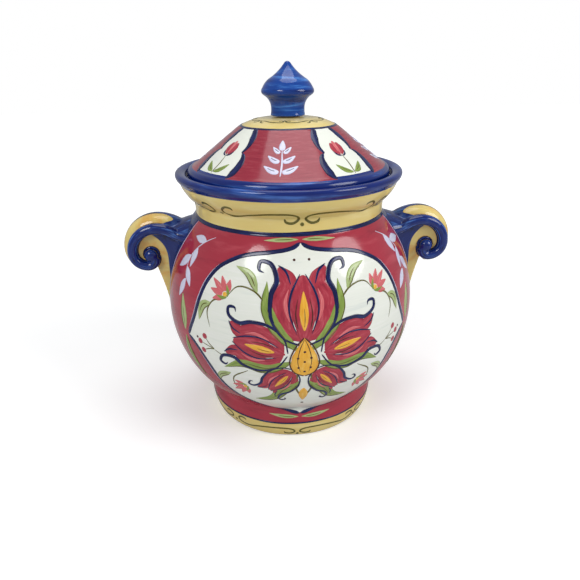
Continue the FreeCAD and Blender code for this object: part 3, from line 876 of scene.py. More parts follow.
def bake(thing):
    """Applies an object's modifiers into a new plain mesh."""
    graph = bpy.context.evaluated_depsgraph_get()
    graph.update()
    mesh = bpy.data.meshes.new_from_object(thing.evaluated_get(graph), depsgraph=graph)
    thing.modifiers.clear()
    old = thing.data
    thing.data = mesh
    mesh.name = thing.name
    bpy.data.meshes.remove(old)
    if len(mesh.polygons) == 0:
        raise RuntimeError("%s came out empty" % thing.name)
    mesh.polygons.foreach_set("use_smooth", [True] * len(mesh.polygons))
    return thing


def join(name, things):
    """Joins meshes into one object without operators."""
    joined = bmesh.new()
    for thing in things:
        joined.from_mesh(thing.data)
        bpy.data.objects.remove(thing)
    mesh = bpy.data.meshes.new(name)
    joined.to_mesh(mesh)
    joined.free()
    return shown(name, mesh)


def hand_over(thing, body):
    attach(thing, body)


# The turned pieces' outlines

def pot_outside(profile):
    """The pot's outside from the foot to the rolled lip, as the potter's ribs cut it."""
    sizes = bpy.context.scene.jar_sizes
    foot_top = (sizes.foot_top_radius, sizes.foot_band_height)
    belly = (sizes.belly_radius, sizes.belly_level)
    shoulder = (sizes.shoulder_radius, sizes.shoulder_level)

    def upright_arc(end):
        inset, rise = belly[0] - end[0], end[1] - belly[1]
        return (inset * inset + rise * rise) / (2 * inset)

    neck = (sizes.neck_radius, sizes.shoulder_level + 4.0)
    profile.to(foot_top[0], foot_top[1], "outside", -2.6, 0.8)
    profile.to(*belly, "outside", -swell_of(upright_arc(foot_top), foot_top, belly))
    profile.to(*shoulder, "outside", -swell_of(upright_arc(shoulder), belly, shoulder))
    profile.to(*neck, "outside", 0.5, 0.6)
    profile.to(sizes.neck_radius + 0.4, sizes.crease_level, "outside", 0.0, 0.8)
    profile.to(sizes.collar_top_radius, sizes.collar_top_level, "outside", -1.6, 0.8)
    rim = sizes.collar_top_level + sizes.lip_rise
    profile.to(sizes.lip_radius, sizes.collar_top_level + 0.55 * sizes.lip_rise, "outside",
               -0.6, 0.5)
    profile.to(sizes.collar_top_radius - 0.6, rim, "outside", -1.3, 0.5)
    return profile


def pot_profile():
    """The whole outline of the pot, from under its floor round to its inside."""
    sizes = bpy.context.scene.jar_sizes
    rim = sizes.collar_top_level + sizes.lip_rise
    ledge = rim - sizes.ledge_depth
    inner_rim = sizes.collar_top_radius - sizes.wall
    throat = (sizes.mouth_radius, sizes.throat_level)
    middle = (sizes.belly_radius - sizes.wall, sizes.belly_level)
    bowl = (sizes.foot_top_radius - sizes.wall, sizes.bowl_level)
    profile = Profile(0.0, 3.0)
    profile.to(sizes.foot_base_radius - 11.0, 3.0, "inside_ground", step=3.0)
    profile.to(sizes.foot_base_radius - 8.0, 0.0, "biscuit_clay", step=0.8)
    profile.to(sizes.foot_base_radius, 0.0, "biscuit_clay", step=1.2)
    pot_outside(profile)
    profile.to(inner_rim, rim - 2.0, "cobalt_ground", -0.5, 0.5)
    profile.to(inner_rim, ledge, "cobalt_ground", 0.0, 0.7)
    profile.to(sizes.mouth_radius, ledge, "inside_ground", 0.0, 0.9)
    profile.to(*throat, "inside_ground", 0.0, 1.8)
    profile.to(*middle, "inside_ground", swell_of(sizes.upper_hollow, throat, middle), 2.4)
    profile.to(*bowl, "inside_ground", swell_of(sizes.lower_hollow, middle, bowl), 2.4)
    profile.to(60.0, sizes.floor_level + 8.0, "inside_ground", 0.0, 1.8)
    profile.to(52.0, sizes.floor_level, "inside_ground", 8.0 * (1 - math.sqrt(0.5)), 1.2)
    profile.to(0.0, sizes.floor_level, "inside_ground", 0.0, 4.0)
    return profile


def banded(line, glazes, painted, choose):
    """Gives each painted stretch the glaze of the band it lies in."""
    out = list(glazes)
    for row, glaze in enumerate(glazes):
        if glaze in painted:
            across, up = (line[row] + line[row + 1]) / 2
            out[row] = choose(across, up)
    return out


def pot_band(_, up):
    return next(name for top, name in POT_BANDS if up < top)


def lid_band(across, up):
    if across < CROWN_EDGE:
        return "straw_ground"
    return "cobalt_ground" if up < LID_EDGE_TOP else "cream_ground"


PAINTED = {"outside", "cobalt_ground", "straw_ground", "cream_ground", "knob_ground"}
# The pot's bands by the height where each one ends, and the edges of the lid's
POT_BANDS = ((14.6, "straw_ground"), (172.2, "crimson_ground"), (197.0, "straw_ground"),
             (1e3, "cobalt_ground"))
CROWN_EDGE, LID_EDGE_TOP = 35.6, 209.0
STATE = {}


def pot_skin():
    """The finished outside of the pot, from the foot to the lip's top."""
    if "pot" not in STATE:
        profile = pot_profile()
        brush = bpy.context.scene.jar_brush
        line = profile.finished(brush.glaze_inset, PAINTED)
        line[:, 1] = np.where(line[:, 1] < 0.25, 0.0, line[:, 1])
        STATE["pot"] = (line, profile.glazes)
        outer = [k for k in range(len(line)) if line[k, 0] > 60.0]
        top = max(outer, key=lambda k: line[k, 1])
        start = next(k for k in range(len(line)) if line[k, 0] > 66.0)
        STATE["pot_skin"] = Skin(line[start:top + 1])
    return STATE["pot_skin"]


def lid_profile():
    """The whole outline of the lid, from its ceiling round the flange to its top."""
    sizes = bpy.context.scene.jar_sizes
    seat, ceiling = sizes.lid_seat, sizes.knob_seat - sizes.lid_wall
    flange, groove = sizes.flange_radius, sizes.groove_radius
    profile = Profile(0.0, ceiling)
    profile.to(sizes.knob_seat_radius, ceiling, "inside_ground", step=3.0)
    profile.to(sizes.ceiling_radius, sizes.ceiling_level, "inside_ground", 1.7, 2.4)
    profile.to(sizes.flange_bore, sizes.flange_top, "inside_ground", 0.0, 2.4)
    profile.to(sizes.flange_bore, seat - sizes.flange_depth, "inside_ground", 0.0, 1.6)
    profile.to(flange, seat - sizes.flange_depth, "biscuit_clay", 0.0, 1.2)
    profile.to(flange, sizes.groove_foot, "inside_ground", 0.0, 1.0)
    profile.to(groove, sizes.groove_foot, "inside_ground", 0.0, 0.8)
    profile.to(groove, sizes.groove_top, "inside_ground", 0.0, 0.8)
    profile.to(flange, sizes.groove_top, "inside_ground", 0.0, 0.8)
    profile.to(flange, seat, "inside_ground", 0.0, 1.0)
    profile.to(sizes.lid_radius, seat, "biscuit_clay", 0.0, 1.2)
    profile.to(sizes.lid_radius, seat + 5.6, "cobalt_ground", 0.0, 0.5)
    profile.to(sizes.lid_radius - 4.8, seat + 10.2, "cobalt_ground", -1.5, 0.5)
    profile.to(sizes.crown_radius, sizes.crown_level, "cream_ground", 0.0, 1.0)
    profile.to(sizes.knob_seat_radius, sizes.knob_seat, "straw_ground", -1.7, 1.0)
    profile.to(0.0, sizes.knob_seat, "straw_ground", 0.0, 3.0)
    return profile


def lid_skin():
    """The finished top of the lid, from its edge to the knob."""
    if "lid" not in STATE:
        profile = lid_profile()
        line = profile.finished(bpy.context.scene.jar_brush.glaze_inset, PAINTED)
        STATE["lid"] = (line, profile.glazes)
        start = max(range(len(line)), key=lambda k: line[k, 0])
        end = next(k for k in range(start, len(line)) if line[k, 0] < 13.0)
        STATE["lid_skin"] = Skin(line[start:end])
    return STATE["lid_skin"]


def check_size(thing, node, slack):
    """Raises if a piece strays from the space its frame node holds."""
    low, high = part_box(node)
    corners = points_of(thing.data)
    for axis in range(3):
        if (corners[:, axis].min() < low[axis] - slack * MM
                or corners[:, axis].max() > high[axis] + slack * MM):
            raise RuntimeError("%s leaves the box of %s on axis %d" % (thing.name, node, axis))


def stand_in(thing, node, body, slack=1.2):
    """Lets a finished piece take the place of its frame node."""
    check_size(thing, node, slack)
    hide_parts(node)
    hand_over(thing, body)


# Operators, one for each piece or group of like pieces

class JAR_OT_stage(bpy.types.Operator):
    """Sets the pale floor, the soft lights and the camera"""
    bl_idname = "jar.stage"
    bl_label = "Stage"

    def execute(self, context):
        view = context.scene.jar_stage
        floor = new_mesh_object("floor", [(-3, -3, 0), (3, -3, 0), (3, 3, 0), (-3, 3, 0)],
                                [(0, 1, 2, 3)], [self.floor_finish(view.floor_glow)])
        for name, spot, size, power in (
                ("window", (-0.75, -0.85, 0.95), 0.55, view.window_power),
                ("bounce", (0.95, -0.55, 0.75), 0.70, view.bounce_power),
                ("top_panel", (0.05, 0.15, 1.25), 0.80, view.top_power)):
            self.lamp(name, spot, size, power)
        self.camera(context, view)
        self.world(context.scene, view.sky)
        context.scene.view_settings.view_transform = "Standard"
        return {"FINISHED"}

    @staticmethod
    def floor_finish(glow):
        nodes = Nodes("pale_floor")
        grain = nodes.noise(nodes.object_space(), 9.0, 2.0)
        seen = nodes.add("ShaderNodeLightPath").outputs["Is Camera Ray"]
        paper = nodes.mix(nodes.spread(grain, 0.3, 0.7), (0.93, 0.93, 0.93), (0.95, 0.95, 0.95))
        reach = nodes.add("ShaderNodeVectorMath", {0: nodes.object_space()}, operation="LENGTH")
        fade = nodes.spread(reach.outputs["Value"], 0.1, 1.2, 0.3 * glow, glow)
        nodes.feed(nodes.shader, {
            "Base Color": nodes.mix(seen, (0.62, 0.62, 0.63), paper), "Roughness": 0.9,
            "Specular IOR Level": 0.1, "Emission Color": (1.0, 1.0, 1.0),
            "Emission Strength": nodes.math("MULTIPLY", seen, fade)})
        return nodes.material

    @staticmethod
    def lamp(name, spot, size, power):
        light = bpy.data.lights.new(name, "AREA")
        light.shape = "DISK"
        light.size = size
        light.energy = power
        lamp = shown(name, light)
        aim = Vector((0, 0, 0.13)) - Vector(spot)
        turn = aim.to_track_quat("-Z", "Y").to_matrix().to_4x4()
        lamp.matrix_world = Matrix.Translation(spot) @ turn
        return lamp

    @staticmethod
    def world(scene, strength):
        world = bpy.data.worlds.new("soft_room")
        world.use_nodes = True
        room = Wiring(world.node_tree)
        back = room.tree.nodes["Background"]
        room.feed(back, {"Color": (0.96, 0.98, 1.0), "Strength": strength})
        seen = room.add("ShaderNodeBackground", {"Color": (1.0, 1.0, 1.0)})
        path = room.add("ShaderNodeLightPath")
        blend = room.add("ShaderNodeMixShader", {
            0: path.outputs["Is Camera Ray"], 1: back.outputs[0], 2: seen.outputs[0]})
        room.wire(blend.outputs[0], room.tree.nodes["World Output"].inputs["Surface"])
        scene.world = world

    @staticmethod
    def camera(context, view):
        """The photographer stood in front, a little to the left and above."""
        turn, tilt, roll = view.camera_turn, view.camera_tilt, view.camera_roll
        right = Vector((math.cos(turn), -math.sin(turn), 0))
        ahead = Vector((math.sin(turn) * math.cos(tilt), math.cos(turn) * math.cos(tilt),
                        -math.sin(tilt)))
        up = right.cross(ahead)
        side = right * math.cos(roll) + up * math.sin(roll)
        top = up * math.cos(roll) - right * math.sin(roll)
        lens = bpy.data.cameras.new("camera")
        lens.sensor_width = 36.0
        lens.lens = view.camera_lens
        spot = Vector((-math.sin(turn) * view.camera_distance,
                       -math.cos(turn) * view.camera_distance, view.camera_height))
        frame_matrix = Matrix((side, top, -ahead)).transposed().to_4x4()
        camera = shown("camera", lens)
        camera.matrix_world = Matrix.Translation(spot) @ frame_matrix
        context.scene.camera = camera
        return camera


class StageSettings(bpy.types.PropertyGroup):
    camera_distance: FloatProperty(name="Camera distance", default=0.415487, unit="LENGTH",
                                   description="Distance of the camera from the jar's axis")
    camera_height: FloatProperty(name="Camera height", default=0.280048, unit="LENGTH",
                                 description="Height of the camera over the table")
    camera_turn: FloatProperty(name="Camera turn", default=math.radians(4.5), subtype="ANGLE",
                               description="How far the camera stands left of the front")
    camera_tilt: FloatProperty(name="Camera tilt", default=0.408785, subtype="ANGLE",
                               description="How far the camera looks down")
    camera_roll: FloatProperty(name="Camera roll", default=-0.01216, subtype="ANGLE",
                               description="Turn of the picture about its middle")
    camera_lens: FloatProperty(name="Lens", default=36.0 * 530.0 / 580.0, subtype="DISTANCE_CAMERA",
                               description="Focal length on a 36 mm sensor")
    floor_glow: FloatProperty(name="Floor glow", default=0.70,
                              description="Extra white the camera sees on the floor")
    sky: FloatProperty(name="Sky", default=0.42, description="Strength of the room's light")
    window_power: FloatProperty(name="Window", default=6.2, description="Left light, in watts")
    bounce_power: FloatProperty(name="Bounce", default=6.7, description="Right light, in watts")
    top_power: FloatProperty(name="Top panel", default=3.9, description="Top light, in watts")


class JAR_OT_pot(bpy.types.Operator):
    """Turns the pot: foot, belly, shoulder, collar, lip, ledge and inside"""
    bl_idname = "jar.pot"
    bl_label = "Pot"

    def execute(self, context):
        pot_skin()
        line, glazes = STATE["pot"]
        glazes = banded(line, glazes, ("outside",), pot_band)
        names = ("inside_ground", "biscuit_clay", "crimson_ground", "straw_ground",
                 "cobalt_ground")
        pot = turned("turned_pot", line, glazes, names)
        stand_in(pot, "jar_pot", "pot")
        return {"FINISHED"}


class JAR_OT_lid(bpy.types.Operator):
    """Turns the lid with its edge, slope, crown and flange"""
    bl_idname = "jar.lid"
    bl_label = "Lid"

    def execute(self, context):
        lid_skin()
        line, glazes = STATE["lid"]
        glazes = banded(line, glazes, ("cream_ground", "straw_ground"), lid_band)
        names = ("inside_ground", "biscuit_clay", "cobalt_ground", "cream_ground",
                 "straw_ground")
        lid = turned("turned_lid", line, glazes, names)
        stand_in(lid, "lid_shell", "lid")
        return {"FINISHED"}


class JAR_OT_knob(bpy.types.Operator):
    """Turns the knob: waist, bulb and drawn-up tip"""
    bl_idname = "jar.knob"
    bl_label = "Knob"

    def execute(self, context):
        sizes = context.scene.jar_sizes
        seat, top = sizes.knob_seat, sizes.jar_height
        profile = Profile(0.0, seat)
        profile.to(sizes.knob_seat_radius, seat, "biscuit_clay", step=3.0)
        # Waist, bulb and shoulder: radius, height over the seat and swell on the way there
        for radius, rise, swell in ((12.6, 4.6, 0.25), (18.1, 14.8, 1.8), (18.8, 19.8, -1.3),
                                    (14.0, 26.0, -0.5)):
            profile.to(radius, seat + rise, "knob_ground", swell, 0.45)
        profile.to(2.12, top - 0.88, "knob_ground", 0.9, 0.45)
        profile.to(0.0, top, "knob_ground", -0.23, 0.3)
        line = profile.finished(0.15, PAINTED, rounds=5)
        knob = turned("turned_knob", line, profile.glazes, ("biscuit_clay", "knob_ground"), 128)
        stand_in(knob, "lid_knob", "lid")
        return {"FINISHED"}


class JAR_OT_seal(bpy.types.Operator):
    """Turns the soft sealing ring with its two lips"""
    bl_idname = "jar.seal"
    bl_label = "Sealing ring"

    def execute(self, context):
        sizes = context.scene.jar_sizes
        foot, top = sizes.groove_foot + 0.25, sizes.groove_top - 0.25
        back, lip = sizes.groove_radius + 0.25, sizes.mouth_radius - 0.35
        stations = [(65.0, foot, 0.0, 0.6), (lip, foot + 0.35, -0.1, 0.3),
                    (lip, foot + 1.25, -0.25, 0.2), (65.6, (foot + top) / 2, 0.25, 0.3),
                    (lip, top - 1.25, 0.25, 0.3), (lip, top - 0.35, -0.25, 0.2),
                    (65.0, top, -0.1, 0.3), (back, top, 0.0, 0.6), (back, foot, 0.0, 0.6)]
        profile = Profile(back, foot)
        for radius, level, swell, step in stations:
            profile.to(radius, level, "seal_rubber", swell, step)
        line = profile.finished(0.0, set(), rounds=2)
        seal = turned("sealing_ring", line, profile.glazes, ("seal_rubber",), 192)
        stand_in(seal, "lid_seal", "seal")
        return {"FINISHED"}


class Scroll:
    """The run of a handle's strap in the plane y = 0, right side, in millimetres."""

    def __init__(self, sizes):
        self.sizes = sizes
        angle = sizes.root_angle
        top = np.array((sizes.top_x, sizes.top_level))
        over = top - (0, sizes.shoulder_bend)
        lean = np.array((-math.sin(angle), math.cos(angle)))
        hollow = over + lean * (sizes.shoulder_bend + sizes.root_bend)
        first = top - (0, sizes.first_turn)
        outer = first + (sizes.first_turn, 0)
        second = outer - (sizes.second_turn, 0)
        low = second - (0, sizes.second_turn)
        third = low + (0, sizes.third_turn)
        quarter = math.pi / 2
        self.bends = [
            (hollow, sizes.root_bend, -1, -quarter, -quarter + angle),
            (over, sizes.shoulder_bend, 1, quarter + angle, quarter),
            (first, sizes.first_turn, 1, quarter, 0.0),
            (second, sizes.second_turn, 1, 0.0, -quarter),
            (third, sizes.third_turn, 1, -quarter, -2 * quarter),
        ]

    def run(self, offset, first=0, last=5, root=66.0, spacing=0.8):
        """Points along the strap, a given distance outside its centre line."""
        parts = []
        for centre, radius, side, start, end in self.bends[first:last]:
            reach = radius + side * offset
            count = max(3, int(abs(end - start) * max(reach, 1.0) / spacing))
            spin = np.linspace(start, end, count)
            parts.append(centre + reach * np.column_stack((np.cos(spin), np.sin(spin))))
        points = np.vstack(parts)
        if root is not None:
            lead = np.linspace(root, points[0, 0], 24, endpoint=False)
            points = np.vstack((np.column_stack((lead, np.full(24, points[0, 1]))), points))
        keep = np.concatenate(([True], np.hypot(*np.diff(points, axis=0).T) > 1e-4))
        return points[keep]

    def eye(self):
        """The middle of the eye, just past the end of the last turn."""
        centre, radius, _, _, end = self.bends[-1]
        end = centre + radius * np.array((math.cos(end), math.sin(end)))
        return end + self.sizes.third_turn * np.array((0.55, 0.45))


def flatten(thing, widening):
    """Widens a rib across the strap into an oval one."""
    move_points(thing.data, points_of(thing.data) * (1.0, widening, 1.0))


def rib_girth(radius, taper, count):
    """A rib's radius along its run: even at first, then thinning towards the eye."""
    ways = np.linspace(0, 1, count)
    return radius * (1 - (1 - taper) * np.clip((ways - 0.45) / 0.55, 0, 1))


def nearest(points, line, block=4000):
    """For each point the nearest point of a line, as its row and its distance."""
    rows, gaps = [], []
    for start in range(0, len(points), block):
        apart = np.linalg.norm(points[start:start + block, None, :] - line[None], axis=2)
        rows.append(apart.argmin(1))
        gaps.append(apart.min(1))
    return np.concatenate(rows), np.concatenate(gaps)


class JAR_OT_handles(bpy.types.Operator):
    """Models the two scroll handles: beads, ridge, web, eye and root"""
    bl_idname = "jar.handles"
    bl_label = "Scroll handles"

    def execute(self, context):
        sizes = context.scene.jar_handles
        scroll = Scroll(sizes)
        half = sizes.width / 2 - sizes.bead
        ribs = [(scroll.run(0.0), side * half, sizes.bead, 0.80) for side in (-1, 1)]
        ridge = self.rib(9, scroll.run(sizes.ridge_rise, 0, 4), 0.0, sizes.ridge_height, 0.86)
        flatten(ridge, sizes.ridge_width / sizes.ridge_height)
        parts = [self.rib(n, *rib) for n, rib in enumerate(ribs)] + [ridge]
        parts += [self.strap(scroll, sizes, half), self.web(scroll, sizes),
                  self.root(sizes, scroll), self.eye(scroll, sizes, half)]
        clay = join("scroll_clay", parts)
        self.join_clay(clay, sizes)
        self.paint(clay.data, ribs, scroll, sizes)
        for name, sign in (("handle_right", 1), ("handle_left", -1)):
            thing = self.placed(clay, "scroll_" + name, sign)
            stand_in(thing, name, "pot", slack=14.0)
        bpy.data.objects.remove(clay)
        return {"FINISHED"}

    @staticmethod
    def rib(number, run, across, radius, taper):
        """One bead, swept by the rib tree and thinning towards the scroll's eye."""
        count = len(run)
        mesh = bpy.data.meshes.new("rib")
        verts = [(x * MM, across * MM, z * MM) for x, z in run]
        mesh.from_pydata(verts, [(k, k + 1) for k in range(count - 1)], [])
        girth = mesh.attributes.new("girth", "FLOAT", "POINT")
        girth.data.foreach_set("value", rib_girth(radius, taper, count) * MM)
        thing = shown("rib_%d" % number, mesh)
        return grow(thing, rib_on_path(), Sides=24, Glaze=GLAZES["scroll"])

    @staticmethod
    def slab(name, outline, thickness):
        """A flat outline in the plane y = 0 given a thickness."""
        form = bmesh.new()
        half = thickness / 2 * MM
        front = [form.verts.new((x * MM, -half, z * MM)) for x, z in outline]
        back = [form.verts.new((x * MM, half, z * MM)) for x, z in outline]
        form.faces.new(front)
        form.faces.new(list(reversed(back)))
        count = len(front)
        for k in range(count):
            j = (k + 1) % count
            form.faces.new((front[j], front[k], back[k], back[j]))
        return from_form(name, form, triangles=True)

    def strap(self, scroll, sizes, half):
        outer = scroll.run(sizes.strap_half)
        inner = scroll.run(-sizes.strap_half)
        return self.slab("strap", np.vstack((outer, inner[::-1])), 2 * half)

    def web(self, scroll, sizes):
        """The recessed web inside the scroll, which runs on down the belly as a tail."""
        outer = scroll.run(sizes.strap_half, 0, 3)
        centre, radius = scroll.bends[3][:2]
        spin = np.linspace(0.0, math.radians(-115.0), 24)
        turn = centre + (radius + sizes.strap_half) * np.column_stack((np.cos(spin), np.sin(spin)))
        tip = np.array((sizes.tail_reach, sizes.tail_tip))
        ways = np.linspace(0, 1, 12)[1:, None]
        tail = turn[-1] + (tip - turn[-1]) * ways
        tail[:, 0] -= (0.6 * np.sin(ways * math.pi)).ravel()
        inside_wall = [(72.0, sizes.tail_tip), (66.0, outer[0, 1])]
        return self.slab("web", np.vstack((outer[1:], turn, tail, inside_wall)), sizes.web)

    @staticmethod
    def root(sizes, scroll):
        """The trumpet of clay that spreads the strap onto the shoulder."""
        level = scroll.run(0.0)[0, 1]
        half = sizes.width / 2
        spin = np.arange(40) * TURN / 40
        # Each ring: distance from the axis, half height, half width, lift over the strap
        rings = [[(across * MM, width * math.cos(a) * MM,
                   (level + lift + height * math.sin(a)) * MM) for a in spin]
                 for across, height, width, lift in (
                     (67.0, 18.0, half + 10.5, -1.2), (71.0, 16.0, half + 8.2, -0.8),
                     (76.0, 13.6, half + 5.6, -0.1), (82.0, 11.2, half + 2.8, 0.6),
                     (88.0, 8.0, half + 0.2, 1.9), (95.2, 5.0, half - 2.0, 3.5))]
        return loft("root", rings)

    @staticmethod
    def eye(scroll, sizes, half):
        """The round eye at the middle of the scroll, proud of the web on both sides."""
        centre = scroll.eye()
        run = 2 * half + 1.0
        spin = np.arange(28) * TURN / 28
        dome = [(-run / 2 - sizes.eye * math.sin(t) * 0.8, sizes.eye * math.cos(t))
                for t in np.linspace(1.45, 0, 7)]
        rings = [[((centre[0] + reach * math.cos(a)) * MM, across * MM,
                   (centre[1] + reach * math.sin(a)) * MM) for a in spin]
                 for across, reach in dome + [(-a, r) for a, r in reversed(dome)]]
        return loft("eye", rings)

    @staticmethod
    def join_clay(clay, sizes):
        """Joins the soft clay parts into one skin and eases it, as a wet sponge does."""
        remesh = clay.modifiers.new("join", "REMESH")
        remesh.mode = "VOXEL"
        remesh.voxel_size = sizes.voxel * MM
        sponge = clay.modifiers.new("sponge", "SMOOTH")
        sponge.factor = 0.5
        sponge.iterations = 5
        bake(clay)
        points = points_of(clay.data) / MM
        skin = pot_skin()
        wall = np.interp(points[:, 2], skin.line[:, 1], skin.line[:, 0]) - 1.8
        reach = np.hypot(points[:, 0], points[:, 1])
        deep = reach < wall
        points[deep, :2] *= (wall[deep] / np.maximum(reach[deep], 1e-6))[:, None]
        move_points(clay.data, points * MM)

    def paint(self, mesh, ribs, scroll, sizes):
        """Writes the distances that the handle's glaze is told apart by."""
        points = points_of(mesh) / MM
        flat, across = points[:, (0, 2)], points[:, 1]
        gap, run_at, side_at = self.beside_beads(points, ribs)
        eye = np.linalg.norm(flat - scroll.eye(), axis=1) - sizes.eye
        on_eye = (eye < gap) & (np.abs(across) > sizes.web / 2 - 1.0)
        gap = np.where(on_eye, eye - 0.4, gap)
        crest = scroll.run(sizes.ridge_rise + sizes.ridge_height, 0, 4)
        ridge = np.hypot(nearest(flat, crest)[1], across)
        # The cobalt of the root ends in a bow over the ridge and in a bay down the web
        tip = sizes.blue_tip + 0.45 * (np.abs(across) - 6.5) ** 2
        bay = sizes.blue_bay + 14.0 * np.clip((points[:, 2] - 134.0) / 25.0, 0, 1) ** 3
        top = self.outside(flat, scroll) & (points[:, 2] > sizes.top_level - 8.0)
        web = points[:, 0] - np.where(top, tip, bay)
        for name, values in (("rib_gap", gap), ("web_gap", web), ("ridge_gap", ridge),
                             ("rib_run", run_at), ("rib_side", side_at)):
            layer = mesh.attributes.new(name, "FLOAT", "POINT")
            layer.data.foreach_set("value", values)

    @staticmethod
    def beside_beads(points, ribs):
        """How far each point lies off the nearer bead, how far along it and at what side."""
        gap = np.full(len(points), 1e3)
        run_at, side_at = np.zeros(len(points)), np.zeros(len(points))
        for number, (run, across, radius, taper) in enumerate(ribs):
            length = np.concatenate(([0.0], np.cumsum(np.hypot(*np.diff(run, axis=0).T))))
            line = np.column_stack((run[:, 0], np.full(len(run), across), run[:, 1]))
            near, away = nearest(points, line)
            here = away - rib_girth(radius, taper, len(run))[near]
            offset = points - line[near]
            turn = np.arctan2(offset[:, 1], np.hypot(offset[:, 0], offset[:, 2]))
            better = here < gap
            gap = np.where(better, here, gap)
            run_at = np.where(better, length[near] + 17.0 * number, run_at)
            side_at = np.where(better, turn + 3.0 * number, side_at)
        return gap, run_at, side_at

    @staticmethod
    def outside(flat, scroll):
        """Whether each point lies on the strap's outer face."""
        middle = scroll.run(0.0)
        way = np.gradient(middle, axis=0)
        way /= np.hypot(way[:, 0], way[:, 1])[:, None]
        near = nearest(flat, middle)[0]
        offset = flat - middle[near]
        return offset[:, 1] * way[near, 0] - offset[:, 0] * way[near, 1] > 0.5

    @staticmethod
    def placed(clay, name, sign):
        mesh = clay.data.copy()
        mesh.name = name
        mesh.materials.clear()
        mesh.materials.append(GLAZES["scroll"])
        mesh.polygons.foreach_set("material_index", [0] * len(mesh.polygons))
        if sign < 0:
            move_points(mesh, points_of(mesh) * (-1.0, 1.0, 1.0))
            mesh.flip_normals()
        mesh.update()
        return shown(name, mesh)


# Brushwork

def ring_line(work, glaze, level, width, layer=0.14, waver=0.25):
    """A line drawn round the pot on the wheel, with the hand's slight waver."""
    angle = np.linspace(math.pi, math.pi + TURN, 361)
    length = level + waver * (np.sin(angle * 3 + 0.7) + 0.5 * np.sin(angle * 7))
    work.stroke(glaze, np.column_stack((angle, length)), width, "ring", layer=layer, tone=0.3)


HALF_SCROLL = ((12.0, -3.4), (10.8, -6.4), (6.4, -7.2), (2.6, -4.6), (3.4, -0.8), (7.6, 1.5),
               (14.0, 2.2), (25.0, 1.7), (36.0, -0.6), (44.0, -3.4), (50.5, -3.6), (55.8, -1.0),
               (57.6, 2.8), (55.0, 5.8), (50.6, 5.6), (48.4, 3.2))


def border_scroll(motif, half, rise, line):
    """Two long S strokes that mirror each other, with dots where they meet."""
    for side in motif.pair():
        path = [(x * half / 60.5, y * rise) for x, y in HALF_SCROLL]
        side.stroke("olive", path, line, "even", layer=0.10, crown=0.08)
    motif.dot("olive", (0, -8.0 * rise), line * 0.75)
    motif.dot("olive", (half, -2.4 * rise), line * 0.75)


class JAR_OT_borders(bpy.types.Operator):
    """Paints the scroll borders on the collar, foot and crown, and the lines round the jar"""
    bl_idname = "jar.borders"
    bl_label = "Borders and lines"

    def execute(self, context):
        brush = context.scene.jar_brush
        skin, cap = pot_skin(), lid_skin()
        lines = Brushwork(skin)
        ring_line(lines, "navy", skin.at_level(172.4), brush.neck_line)
        ring_line(lines, "navy", skin.at_level(14.6), 1.6, waver=0.15)
        lines.hand_over("pot_lines", "pot", "pot_glaze")
        crown = Brushwork(cap)
        ring_line(crown, "navy", cap.at_radius(35.8), 2.2, waver=0.2)
        crown.hand_over("lid_lines", "lid", "lid_glaze")
        count = brush.border_count
        self.border(skin, "collar_scrolls", skin.at_level(186.0), count, 1.0, brush.scroll_line,
                    "pot", "pot_glaze", math.radians(2.0))
        self.border(skin, "foot_scrolls", skin.at_level(7.8), count, 0.66,
                    brush.scroll_line * 0.85, "pot", "pot_glaze", math.radians(-1.0))
        self.border(cap, "crown_scrolls", cap.at_radius(26.0), count, -0.36,
                    brush.scroll_line * 0.6, "lid", "lid_glaze", math.radians(-10.0))
        return {"FINISHED"}

    @staticmethod
    def border(skin, name, length, count, rise, line, body, slot, start):
        work = Brushwork(skin)
        half = float(skin.radius(length)) * math.pi / count
        border_scroll(Motif(work, start, length), half, rise, line)
        thing = work.objects(name)[0]
        grow(thing, ring_of_motifs(), Count=count, Sway=0.012, Seed=4, Glaze=GLAZES["olive"])
        hand_over(thing, body)


FRAME_UPPER = ((168.0, 0.0), (165.2, 3.5), (163.6, 8.0), (162.0, 16.0), (160.4, 24.0),
               (157.2, 31.0), (150.0, 39.0), (139.0, 44.2), (126.0, 47.2), (112.0, 49.6),
               (101.0, 52.6), (94.0, 54.6))
FRAME_LOWER = ((94.0, 54.6), (89.0, 50.2), (82.0, 46.6), (73.0, 43.4), (62.0, 40.6),
               (53.0, 37.6), (45.0, 32.6), (38.0, 25.8), (30.5, 15.5), (26.4, 6.5), (23.8, 0.0))


def frame_edge(skin, rows):
    """One side of the ogee frame as angles and lengths, smooth between its cusps."""
    flat = [(math.radians(angle) * 90.0, skin.at_level(level)) for level, angle in rows]
    path, _ = smooth_path(flat, 0.9)
    return np.column_stack((path[:, 0] / 90.0, path[:, 1]))


